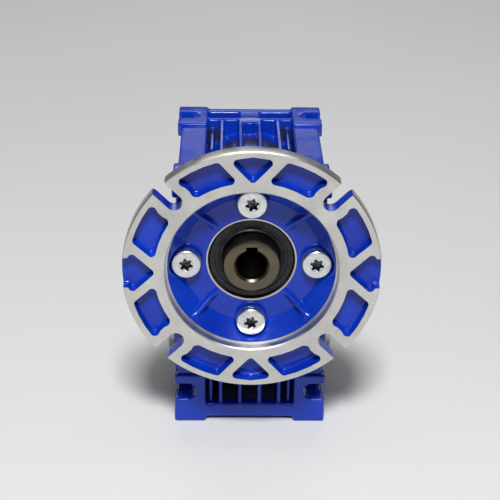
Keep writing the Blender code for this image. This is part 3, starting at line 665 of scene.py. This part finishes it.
def cast_flange(step):
    """The flange as it leaves the mould, a little thick where it will be faced."""
    low = (-FLANGE_RADIUS - 2, FACE - 5, WORM_Z - FLANGE_RADIUS - 2)
    high = (FLANGE_RADIUS + 2, FACE + 22, WORM_Z + FLANGE_RADIUS + 2)
    body = Casting(low, high, step)
    body.add_bar("Y", WORM, FLANGE_RADIUS + 0.2, FACE - 3.5, FACE + 6.5, edge=2.4)
    cone = [
        (0.0, FACE + 4.0), (33.2, FACE + 4.0), (33.0, FACE + 5.8), (29.4, FACE + 11.5), (26.2, FACE + 14.0),
        (0.0, FACE + 14.0),
    ]
    back = turned_solid("Y", WORM, cone)
    low, high = (-34, FACE + 3, WORM_Z - 34), (34, FACE + 15, WORM_Z + 34)
    body.add(lambda x, y, z: back(x, y, z) - 0.7, low, high, 1.6)
    body.add_bar("Y", WORM, 18.5, FACE + 12.0, FACE + 20.7, edge=0.4, blend=0.5)
    dish = [(0.0, FACE - 5), (28.5, FACE - 5), (28.1, FACE + 3.3), (23.4, FACE + 8.9), (0.0, FACE + 8.9)]
    bowl = turned_solid("Y", WORM, dish)
    low, high = (-30, FACE - 5, WORM_Z - 30), (30, FACE + 10.4, WORM_Z + 30)
    body.cut(lambda x, y, z: bowl(x, y, z) - 1.5, low, high, 0.5)
    for quarter in range(4):
        direction = 45.0 + 90.0 * quarter
        u, v = polar(23.5, direction)
        low, high = (u - 9, FACE + 4, WORM_Z + v - 9), (u + 9, FACE + 13, WORM_Z + v + 9)
        body.add(gusset(direction), low, high, 1.3)
    for u, v in around(22.9, 4):
        body.cut_bar("Y", (u, WORM_Z + v), 5.9, FACE - 2.0, FACE + 10.55, edge=0.5, blend=0.6)
    for outline in pocket_outlines():
        cutter = plate("Y", inset(outline, 1.2), FACE - 4.0, FACE + 4.0, corner=1.7, draft=0.05, edge=1.1)
        us, vs = [p[0] for p in outline], [p[1] for p in outline]
        body.cut(cutter, (min(us), FACE - 4, min(vs)), (max(us), FACE + 4, max(vs)), 0.25)
    for quarter in range(4):
        end = [polar(2.9, a) for a in steps(180.0, 360.0, 13)]
        slot = turn([(u, v + 37.5) for u, v in end] + [(2.9, 50.0), (-2.9, 50.0)], 45.0 + 90.0 * quarter)
        us, vs = [p[0] for p in slot], [p[1] for p in slot]
        low, high = (min(us), FACE - 5, min(vs)), (max(us), FACE + 9, max(vs))
        body.cut(plate("Y", slot, FACE - 5, FACE + 9), low, high, 0.5)
    return body


def facing_block(axis, place_at, outward, material, reach=70.0):
    """Cutter that removes everything beyond a plane."""
    far = place_at + outward * 12.0
    square = [(-reach, -reach), (reach, -reach), (reach, reach * 2), (-reach, reach * 2)]
    return prism("facing", axis, square, min(place_at, far), max(place_at, far), material)


def make_flange():
    """The motor flange: faced, turned outside, registered and bored after casting."""
    step, keep = ((0.34, 0.42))
    flange = cast_flange(step).make("motor_flange_casting", BLUE, keep)
    rim = FLANGE_RADIUS
    outside = [
        (rim + 6, FACE - 3), (rim + 6, FACE + 5.4), (rim, FACE + 5.4), (rim, FACE + 0.35),
        (rim - 0.35, FACE), (rim - 0.35, FACE - 3),
    ]
    register = [
        (0.0, FACE - 3), (30.4, FACE - 3), (30.4, FACE), (30.0, FACE + 0.4), (30.0, FACE + 4.0),
        (0.0, FACE + 4.0),
    ]
    seat = [
        (0.0, FACE + 6), (15.95, FACE + 6), (15.95, FACE + 10.5), (15.45, FACE + 10.5),
        (15.3, FACE + 10.65), (15.3, FACE + 24), (0.0, FACE + 24),
    ]
    groove = [(17.4, FACE + 17.0), (19.5, FACE + 17.0), (19.5, FACE + 18.6), (17.4, FACE + 18.6)]
    tools = [facing_block("Y", FACE, -1.0, FACED)]
    for name, profile in (("outside", outside), ("register", register), ("seat", seat), ("groove", groove)):
        tools.append(turned(name, "Y", WORM, profile, FACED, 240))
    for u, v in around(22.9, 4):
        hole = [(0.0, FACE + 8), (2.8, FACE + 8), (2.8, FACE + 17), (0.0, FACE + 17)]
        tools.append(turned("hole", "Y", (u, WORM_Z + v), hole, FACED, 32))
    combine(flange, tools)
    return piece(flange, "root", ["motor_flange"])


# ---------------------------------------------------------------- housing

PLATE = 5.5
COVER_FACE = COVER_HIGH[0] - 6.3


def either(side, inner, outer):
    """An x range on one side of the gearbox, lowest first."""
    return tuple(sorted((side * inner, side * outer)))


def foot_pad_spans():
    """Pads at the ends of the rails, as y and z ranges."""
    top = TOP - PLATE
    return [
        ((FRONT, FRONT + 20), (top, TOP)), ((REAR - 20, REAR), (top, TOP)),
        ((FRONT, FRONT + 20), (0.0, PLATE)), ((REAR - 20, REAR), (0.0, PLATE)),
        ((FRONT, FRONT + PLATE), (0.0, 20.0)), ((REAR - PLATE, REAR), (0.0, 20.0)),
        ((REAR - PLATE, REAR), (OUTPUT_Z + 17, OUTPUT_Z + 37)),
    ]


def add_side(body, side):
    """Rails, web, ridges and pads on one side."""
    low_x, high_x = either(side, 16.6, 26.5)
    front, rear = FRONT + 1.3, REAR - 1.3
    for y, z in (
        ((front, rear), (TOP - PLATE, TOP - 1.3)), ((front, rear), (1.3, PLATE)),
        ((front, FRONT + PLATE), (1.3, TOP - 1.3)), ((REAR - PLATE, rear), (1.3, TOP - 1.3)),
    ):
        body.add_box((low_x, y[0], z[0]), (high_x, y[1], z[1]), 0.8, 0.9)
    low_x, high_x = either(side, 17.0, 21.5)
    body.add_box((low_x, FRONT + 2, 2.0), (high_x, REAR - 2, TOP - 2), 0.8, 1.2)
    low_x, high_x = either(side, 17.5, 25.5)
    for height in (79.5, 83.5, 87.5):
        body.add_box((low_x, FRONT + 3, height - 0.8), (high_x, REAR - 3, height + 0.8), 0.7, 1.2)
    low_x, high_x = either(side, 16.5, HALF_WIDTH)
    for y, z in foot_pad_spans():
        body.add_box((low_x, y[0], z[0]), (high_x, y[1], z[1]), 0.8, 0.4)
    low_x, high_x = either(side, 13.9, 15.3)
    body.add_box((low_x, FRONT + 2.6, 6.0), (high_x, FRONT + 9, 44.0), 0.6, 0.8)
    body.add_box((low_x, 12.0, 84.0), (high_x, 34.6, 92.6), 0.6, 0.8)
    wedge = [(side * x, z) for x, z in ((18.0, 0.9), (17.0, 0.9), (15.6, 2.7), (13.8, 6.0), (18.0, 7.0))]
    low_x, high_x = either(side, 13.8, 18.0)
    body.add(plate("Y", wedge, FRONT + 0.6, FRONT + 5.0), (low_x, FRONT, 0.9), (high_x, FRONT + 5, 7), 0.7)
    body.cut_bar("Y", (side * 12.9, 4.9), 1.2, FRONT - 1, FRONT + 1.9, edge=0.2)


def add_fins(body):
    """Thin upright fins between the rails, thicker at the root."""
    front, rear = FRONT + 1.2, REAR - 1.6
    outline = [
        (front, 7.0), (front, 46.0), (-24.0, 60.0), (-24.0, 94.0), (-20.0, 96.0), (35.5, 96.0),
        (35.5, 90.0), (rear, 90.0), (rear, 7.0), (41.0, 1.5), (-26.0, 1.5),
    ]
    for x in (-10.9, -3.65, 3.65, 10.9):
        fin = plate("X", inset(outline[::-1], 0.6), x - 0.72, x + 0.72, corner=0.6, edge=0.55)
        body.add(fin, (x - 0.8, front, 1.5), (x + 0.8, rear, 96.0), 1.3)


def add_bars(body):
    """Bars that tie the rails together, and the oblong boss of the eye bolt."""
    span = 18.0
    for low, high in (
        ((-span, REAR - 4.8, 88.0), (span, REAR - 0.9, TOP - 0.6)),
        ((-span, 34.2, 86.0), (span, 36.9, TOP - 0.8)),
        ((-span, FRONT + 0.7, 1.6), (span, FRONT + 4.4, 7.4)),
        ((-span, REAR - 4.4, 1.6), (span, REAR - 0.7, 7.4)),
    ):
        body.add_box(low, high, 0.9, 0.9)
    body.add_bar("Z", (0.0, 34.8), 4.2, 85.0, TOP - 0.7, 0.9, 1.0)
    body.add_box((-4.0, 35.6, 87.0), (4.0, REAR - 2.0, TOP - 0.8), 0.9, 0.6)


def slot_outline(side, middle):
    """A foot slot, round inside and open on the outer side."""
    centre, radius, outer = side * 23.05, 3.25, side * 34.0
    start = 90.0 if side > 0 else -90.0
    arc = [(centre + u, middle + v) for u, v in (polar(radius, a) for a in steps(start, start + 180.0, 15))]
    return arc + [(outer, arc[-1][1]), (outer, arc[0][1])]


def cut_slots(body, side):
    """Cuts the open foot slots of one side, through the top, bottom, rear and front pads."""
    reach = PLATE + 1.5
    spots = [("Z", OUTPUT_Y + off, low, high) for off in (-30.0, 30.0)
             for low, high in ((-2.0, reach), (TOP - reach, TOP + 2.0))]
    spots += [("Y", OUTPUT_Z + off, REAR - reach, REAR + 2.0) for off in (-27.0, 27.0)]
    spots.append(("Y", OUTPUT_Z - 27.0, FRONT - 2.0, FRONT + reach))
    for axis, middle, low, high in spots:
        x = either(side, 19.8, 34.0)
        corner_low = place(axis, x[0], middle - 3.3, low)
        corner_high = place(axis, x[1], middle + 3.3, high)
        body.cut(plate(axis, slot_outline(side, middle), low, high), corner_low, corner_high, 0.5)


def cast_housing(step):
    """The housing as it leaves the mould."""
    body = Casting((-33.5, FRONT - 2, -2), (30, REAR + 2, TOP + 2), step)
    body.add_bar("X", OUTPUT, 37.5, -HALF_WIDTH - 0.5, COVER_FACE + 1.5, 0.8, 0.5)
    body.add_bar("X", OUTPUT, 28.0, -HALF_WIDTH - 3.5, -HALF_WIDTH + 2, 0.3, 0.5)
    body.add_bar("Y", WORM, 21.0, FRONT + 0.5, REAR - 0.5, 0.9, 2.0)
    body.add_bar("Y", WORM, 26.8, FRONT, -19.5, 1.0, 1.2)
    for side in (-1, 1):
        add_side(body, side)
    add_fins(body)
    add_bars(body)
    for side in (-1, 1):
        cut_slots(body, side)
    return body


def threaded_hole(axis, centre, mouth, inward, depth, radius, material):
    """Cutter for a tapped hole with a countersink and thread grooves."""
    wide = radius + 0.6
    profile = [(0.0, mouth - inward), (wide, mouth - inward), (wide, mouth), (radius, mouth + inward * 0.7)]
    pitch = radius * 0.32
    for turn_number in range(int((depth - 1.5) / pitch)):
        start = mouth + inward * (0.8 + turn_number * pitch)
        profile += [(radius - 0.22, start + inward * pitch * 0.35), (radius, start + inward * pitch * 0.7)]
    profile += [(radius - 0.22, mouth + inward * depth), (0.0, mouth + inward * depth)]
    return turned("tapped", axis, centre, profile, material, 36)


def make_housing():
    """The housing: bored for the worm, bored and faced for the output, and tapped."""
    step, keep = ((0.42, 0.22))
    housing = cast_housing(step).make("housing_casting", CASE_BLUE, keep)
    left = -HALF_WIDTH
    cavity = [
        (0.0, -11.2), (27.5, -11.2), (27.5, COVER_FACE), (39.0, COVER_FACE), (39.0, 33.0), (0.0, 33.0),
    ]
    seat = [(0.0, left - 8), (20.3, left - 8), (20.3, -23.8), (23.8, -23.8), (23.8, -10.0), (0.0, -10.0)]
    outer = [
        (0.0, left - 7), (37.8, left - 7), (37.8, left), (27.5, left), (27.5, left - 2.6),
        (27.1, left - 3.0), (0.0, left - 3.0),
    ]
    bore = [
        (0.0, FRONT - 4), (18.8, FRONT - 4), (18.8, -26.8), (19.5, -26.8), (19.5, -25.1), (18.8, -25.1),
        (18.8, -15.7),
        (13.0, -15.7), (13.0, 27.2), (16.3, 27.2), (16.3, 37.7), (17.3, 37.7), (17.3, 39.3), (16.3, 39.3),
        (16.3, REAR - 1.2), (17.3, REAR - 0.2), (17.3, REAR + 4), (0.0, REAR + 4),
    ]
    tools = [turned("bore", "Y", WORM, bore, FACED, 160)]
    for name, profile in (("cavity", cavity), ("outer", outer), ("seat", seat)):
        tools.append(turned(name, "X", OUTPUT, profile, SIDE_FACED, 200))
    for u, v in around(32.5, 4, 45.0):
        spot = (OUTPUT_Y + u, OUTPUT_Z + v)
        tools.append(threaded_hole("X", spot, left, 1.0, 9.0, 2.5, SIDE_FACED))
        tools.append(threaded_hole("X", spot, COVER_FACE, -1.0, 6.7, 2.5, SIDE_FACED))
    for u, v in around(32.5, 4):
        spot = (OUTPUT_Y + u, OUTPUT_Z + v)
        tools.append(threaded_hole("X", spot, COVER_FACE, -1.0, 10.7, 2.3, SIDE_FACED))
    for u, v in around(22.9, 4):
        tools.append(threaded_hole("Y", (u, WORM_Z + v), FRONT, 1.0, 11.9, 2.8, FACED))
    combine(housing, tools)
    return piece(housing, "root", ["housing"])


# ---------------------------------------------------------------- side cover

def make_cover():
    """Round cover with its machined register and pilot."""
    back = COVER_FACE + 0.3
    edge = COVER_LOW[0]
    profile = [
        (27.2, edge), (27.2, 20.6), (26.0, 20.6), (26.0, 22.6), (27.2, 22.6), (27.2, back), (36.8, back),
        (37.2, back + 0.4),
        (37.2, HALF_WIDTH - 0.9), (36.9, HALF_WIDTH - 0.3), (36.2, HALF_WIDTH), (27.5, HALF_WIDTH),
        (27.5, HALF_WIDTH + 2.5), (27.0, HALF_WIDTH + 3), (21.0, HALF_WIDTH + 3), (20.3, HALF_WIDTH + 2.3),
        (20.3, 23.8), (23.8, 23.8), (23.8, edge),
    ]
    cover = turned("side_cover_casting", "X", OUTPUT, profile, BLUE, 200)
    cover.data.materials.append(SIDE_FACED)
    for face in cover.data.polygons:
        reach = math.hypot(face.center.y - OUTPUT_Y, face.center.z - OUTPUT_Z)
        if reach < 36.3:
            face.material_index = 1
    tools = []
    for u, v in around(32.5, 4, 45.0):
        hole = [(0.0, 22), (2.5, 22), (2.5, 27.4), (3.1, 28.0), (3.1, 30), (0.0, 30)]
        tools.append(turned("hole", "X", (OUTPUT_Y + u, OUTPUT_Z + v), hole, SIDE_FACED, 36))
    for u, v in around(32.5, 4):
        sink = [(0.0, 22), (2.3, 22), (2.3, 25.8), (4.0, 27.5), (4.0, 30), (0.0, 30)]
        tools.append(turned("sink", "X", (OUTPUT_Y + u, OUTPUT_Z + v), sink, SIDE_FACED, 48))
    combine(cover, tools)
    return piece(cover, "root", ["side_cover"])


# ---------------------------------------------------------------- screws

def lobes(centre, radius, depth, count, points=72, turn_by=0.0):
    """Outline of a star-shaped driver recess."""
    found = []
    for i in range(points):
        angle = 2 * math.pi * i / points
        reach = radius - depth * (0.5 - 0.5 * math.cos(count * angle)) ** 0.8
        u, v = reach * math.cos(angle + turn_by), reach * math.sin(angle + turn_by)
        found.append((centre[0] + u, centre[1] + v))
    return found


def make_flange_screw(number):
    """Pan-head screw with a six-lobed recess."""
    low, high = corners(f"flange_screw_{number}")
    centre = ((low[0] + high[0]) / 2, (low[2] + high[2]) / 2)
    top, tip = low[1], high[1]
    seat = top + 3.8
    profile = [(0.0, top), (4.5, top), (4.9, top + 0.1), (5.15, top + 0.35), (5.28, top + 0.8)]
    profile += [(5.28, seat - 0.25), (5.0, seat), (2.5, seat)]
    pitch = 0.8
    for i in range(int((tip - seat - 1.2) / pitch)):
        start = seat + 0.6 + i * pitch
        profile += [(2.5, start), (2.2, start + 0.35), (2.5, start + 0.7)]
    profile += [(2.0, tip), (0.0, tip)]
    screw = turned(f"pan_screw_{number}", "Y", centre, profile, ZINC, 64)
    outline = lobes(centre, 2.5, 0.85, 6, turn_by=0.3 + 0.5 * number)
    # The recess and the point at its bottom take the dark metal that paints the shade in the hollow.
    recess = prism("recess", "Y", outline, top - 1.0, top + 2.4, RECESS_PAINTED_SHADE)
    point = [(0.0, top + 2.3), (1.3, top + 2.3), (0.0, top + 3.1)]
    dimple = turned("dimple", "Y", centre, point, RECESS_PAINTED_SHADE, 24)
    mouth = [(0.0, top - 0.5), (2.9, top - 0.5), (2.35, top + 0.18), (0.0, top + 0.18)]
    combine(screw, [recess, dimple, turned("mouth", "Y", centre, mouth, ZINC, 48)])
    return piece(screw, "root", [f"flange_screw_{number}"], 28.0)


def make_cover_screw(number):
    """Countersunk screw with a hexagon socket."""
    low, high = corners(f"cover_screw_{number}")
    centre = ((low[1] + high[1]) / 2, (low[2] + high[2]) / 2)
    top, tip = high[0], low[0]
    profile = [(0.0, tip), (1.6, tip), (2.0, tip + 0.5)]
    for i in range(12):
        start = tip + 0.8 + i * 0.7
        profile += [(2.0, start), (1.75, start + 0.3), (2.0, start + 0.6)]
    profile += [(2.0, top - 1.9), (3.6, top - 0.3), (3.72, top - 0.1), (3.62, top), (0.0, top)]
    screw = turned(f"countersunk_screw_{number}", "X", centre, profile, ZINC, 56)
    socket = prism("socket", "X", circle(centre, 1.45, 6), top - 1.6, top + 1.0, ZINC)
    combine(screw, [socket])
    return piece(screw, "root", [f"cover_screw_{number}"], 28.0)


# ---------------------------------------------------------------- shafts

def make_worm():
    """Hollow keyed input shaft with the ground worm thread."""
    nose, tail = WORM_LOW[1], WORM_HIGH[1]
    profile = [
        (0.0, nose), (9.1, nose), (9.65, nose + 0.25), (9.9, nose + 0.9), (9.9, -15.7), (12.0, -15.7),
        (12.0, -14.2), (9.0, -12.0), (6.7, -10.7), (6.3, -10.2), (6.3, 25.0), (8.0, 25.8), (8.0, 27.2),
        (6.0, 27.2), (6.0, tail - 0.6), (5.4, tail), (0.0, tail),
    ]
    shaft = turned("worm_shaft_ground", "Y", WORM, profile, WORM_STEEL, 144)
    combine(shaft, [thread_strip()], "UNION")
    bore = [
        (0.0, nose - 2), (8.3, nose - 2), (6.25, nose), (5.5, nose + 0.75), (5.5, -16.0), (5.2, -15.6),
        (0.0, -14.0),
    ]
    section = [(-2.0, WORM_Z + 1), (2.0, WORM_Z + 1), (2.0, WORM_Z + 7.3), (-2.0, WORM_Z + 7.3)]
    keyway = prism("keyway", "Y", section, nose - 1, -17.0, WORM_STEEL)
    combine(shaft, [turned("bore", "Y", WORM, bore, WORM_STEEL, 120), keyway])
    return piece(shaft, "worm", ["worm_shaft"], 25.0)


def thread_strip():
    """The worm's single-start thread, wound with the pitch of the wheel."""
    pitch = math.pi * (60.0 - 16.0) / 30.0
    per_turn, turns = 60, 6
    builder = bmesh.new()
    rings = []
    total = per_turn * turns
    for step in range(total + 1):
        angle = 2 * math.pi * step / per_turn
        along = OUTPUT_Y + pitch * (step / per_turn - turns / 2)
        grow = min(1.0, min(step, total - step) / 18.0)
        tip = 6.05 + 3.15 * grow
        section = [
            (5.2, -1.42), (6.0, -1.42), (tip - 0.1, -0.46), (tip, -0.36),
            (tip, 0.36), (tip - 0.1, 0.46), (6.0, 1.42), (5.2, 1.42),
        ]
        across, up = math.sin(angle), math.cos(angle)
        rings.append([builder.verts.new((r * across, along + off, WORM_Z - r * up)) for r, off in section])
    for ring, following in zip(rings, rings[1:]):
        for i in range(len(ring)):
            j = (i + 1) % len(ring)
            builder.faces.new([ring[i], ring[j], following[j], following[i]])
    builder.faces.new(rings[0])
    builder.faces.new(rings[-1])
    return from_builder("thread", builder, WORM_STEEL)


def make_hub():
    """Hollow output shaft with its keyway."""
    low, high = HUB_LOW[0], HUB_HIGH[0]
    half = []
    for sign, end in ((-1, low), (1, high)):
        part = [
            (7.55, end), (11.7, end), (12.15, end - sign * 0.15), (12.4, end - sign * 0.7),
            (12.4, sign * 11.2), (15.5, sign * 11.2),
        ]
        half += part if sign < 0 else part[::-1]
    profile = half + [(7.0, high - 0.55), (7.0, low + 0.55)]
    hub = turned("output_hub_ground", "X", OUTPUT, profile, HUB_STEEL, 160)
    y, z = OUTPUT
    section = [(y - 2.5, z + 1), (y + 2.5, z + 1), (y + 2.5, z + 9.3), (y - 2.5, z + 9.3)]
    keyway = prism("keyway", "X", section, low - 1, high + 1, HUB_STEEL)
    combine(hub, [keyway])
    return piece(hub, "wheel", ["output_hub"], 25.0)


# ---------------------------------------------------------------- seals and cap

def make_seal(node, axis, centre, inner, outer):
    """Lip seal with a stepped face, a moulded lip and its garter spring groove."""
    low, high = corners(node)
    index = "XYZ".index(axis)
    outward_high = axis == "X" and low[0] > 0
    face, back = (high[index], low[index]) if outward_high else (low[index], high[index])
    into = 1.0 if back > face else -1.0
    depth = abs(back - face)
    steps_in = [
        (outer - 0.35, 0.0), (outer - 2.0, 0.0), (outer - 2.2, 0.35), (outer - 2.9, 0.35),
        (outer - 3.1, 0.08), (inner + 1.5, 0.08), (inner + 1.1, 0.25), (inner + 0.75, 0.0),
        (inner + 0.4, 0.08), (inner, 0.55), (inner, 0.9), (inner + 0.45, 1.5), (inner + 0.3, depth - 3.2),
        (inner, depth - 2.6), (inner + 1.2, depth - 1.5), (inner + 1.8, depth - 1.9),
        (inner + 1.6, 1.6), (outer - 1.5, 1.6), (outer - 1.5, depth), (outer, depth), (outer, 0.35),
    ]
    profile = [(radius, face + into * along) for radius, along in steps_in]
    seal = turned(node + "_rubber", axis, centre, profile, RUBBER, 160)
    return piece(seal, "root", [node], 40.0)


def make_rear_cap():
    """Pressed cup with a rounded rim and a shallow dished centre."""
    low, high = corners("rear_cap")
    start, end = low[1], high[1]
    profile = [
        (0.0, end - 0.7), (9.5, end - 0.7), (10.6, end - 0.15), (11.2, end), (15.0, end),
        (15.55, end - 0.15), (15.9, end - 0.5), (16.0, end - 1.0), (16.0, start + 0.4), (15.7, start),
        (14.0, start), (14.0, end - 2.2), (13.4, end - 1.8), (0.0, end - 1.8),
    ]
    cap = turned("rear_cap_rubber", "Y", WORM, profile, RUBBER, 128)
    return piece(cap, "root", ["rear_cap"], 40.0)


def dress_inner_nodes():
    """Materials for the CAD nodes that stay as they are."""
    looks = {
        "outer_ring": RING_STEEL, "inner_ring": RING_STEEL, "cage": RING_STEEL,
        "circlip": SPRING, "o_ring": RUBBER, "wheel": BRONZE,
    }
    for name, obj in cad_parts.items():
        for ending, material in looks.items():
            if name.endswith(ending):
                obj.data.materials.clear()
                obj.data.materials.append(material)


make_flange()
make_housing()
make_cover()
for screw_number in (1, 2, 3, 4):
    make_flange_screw(screw_number)
    make_cover_screw(screw_number)
make_worm()
make_hub()
make_seal("input_seal", "Y", WORM, 10.2, 15.0)
make_seal("right_seal", "X", OUTPUT, 12.7, 20.0)
make_seal("left_seal", "X", OUTPUT, 12.7, 20.0)
make_rear_cap()
dress_inner_nodes()


# ---------------------------------------------------------------- floor, light and camera

def pale_floor():
    """A wide plain sheet that runs out of view."""
    made = Surface("pale_floor", roughness=0.55, specular_ior_level=0.25)
    haze = made.spread(made.noise(3.0, 3.0), 0.0, 1.0)
    made.give("Base Color", made.blend(haze, (0.80, 0.805, 0.80), (0.84, 0.84, 0.83)))
    made.bump(made.noise(700.0, 3.0), 0.00003, 0.4)
    mesh = bpy.data.meshes.new("floor")
    mesh.from_pydata([(-9, -3, 0), (9, -3, 0), (9, 12, 0), (-9, 12, 0)], [], [(0, 1, 2, 3)])
    floor = link("floor", mesh, made.material)


def soft_box(name, spot, target, width, depth, power, colour=(1.0, 1.0, 1.0)):
    """A large rectangular lamp aimed at a point."""
    lamp = bpy.data.lights.new(name, "AREA")
    lamp.shape = "RECTANGLE"
    lamp.size, lamp.size_y = width, depth
    lamp.energy = power
    lamp.color = colour
    obj = bpy.data.objects.new(name, lamp)
    obj.location = spot
    aim = Vector(target) - Vector(spot)
    obj.rotation_euler = aim.to_track_quat("-Z", "Y").to_euler()
    bpy.context.scene.collection.objects.link(obj)


def studio():
    """A key light high in front, a low light behind, and a faint even sky."""
    bpy.context.scene.view_settings.view_transform = "Standard"
    world = bpy.data.worlds.new("studio")
    world.use_nodes = True
    background = world.node_tree.nodes["Background"]
    background.inputs["Color"].default_value = (0.93, 0.96, 1.0, 1.0)
    background.inputs["Strength"].default_value = 0.09
    bpy.context.scene.world = world
    soft_box("key", (-0.012, -0.70, 1.0), (0.0, 0.0, 0.05), 0.24, 0.20, 13.5)
    soft_box("behind", (0.0, 0.85, 0.62), (0.0, 0.0, 0.08), 0.9, 0.30, 2.0)


def camera():
    """The viewpoint, given as a place and yaw, pitch and roll."""
    yaw, pitch, roll = 0.0170007738, 0.449283105, 0.0117607522
    forward = Vector((math.sin(yaw) * math.cos(pitch), math.cos(yaw) * math.cos(pitch), -math.sin(pitch)))
    level = Vector((math.cos(yaw), -math.sin(yaw), 0.0))
    upright = level.cross(forward)
    right = level * math.cos(roll) + upright * math.sin(roll)
    up = upright * math.cos(roll) - level * math.sin(roll)
    lens = bpy.data.cameras.new("camera")
    lens.sensor_width = 36.0
    lens.lens = 96.35
    lens.clip_start = 0.01
    view = bpy.data.objects.new("camera", lens)
    turn_to = Matrix((right, up, -forward)).transposed().to_4x4()
    view.matrix_world = Matrix.Translation((-0.0077576, -0.4597324, 0.2777802)) @ turn_to
    bpy.context.scene.collection.objects.link(view)
    bpy.context.scene.camera = view


pale_floor()
studio()
camera()
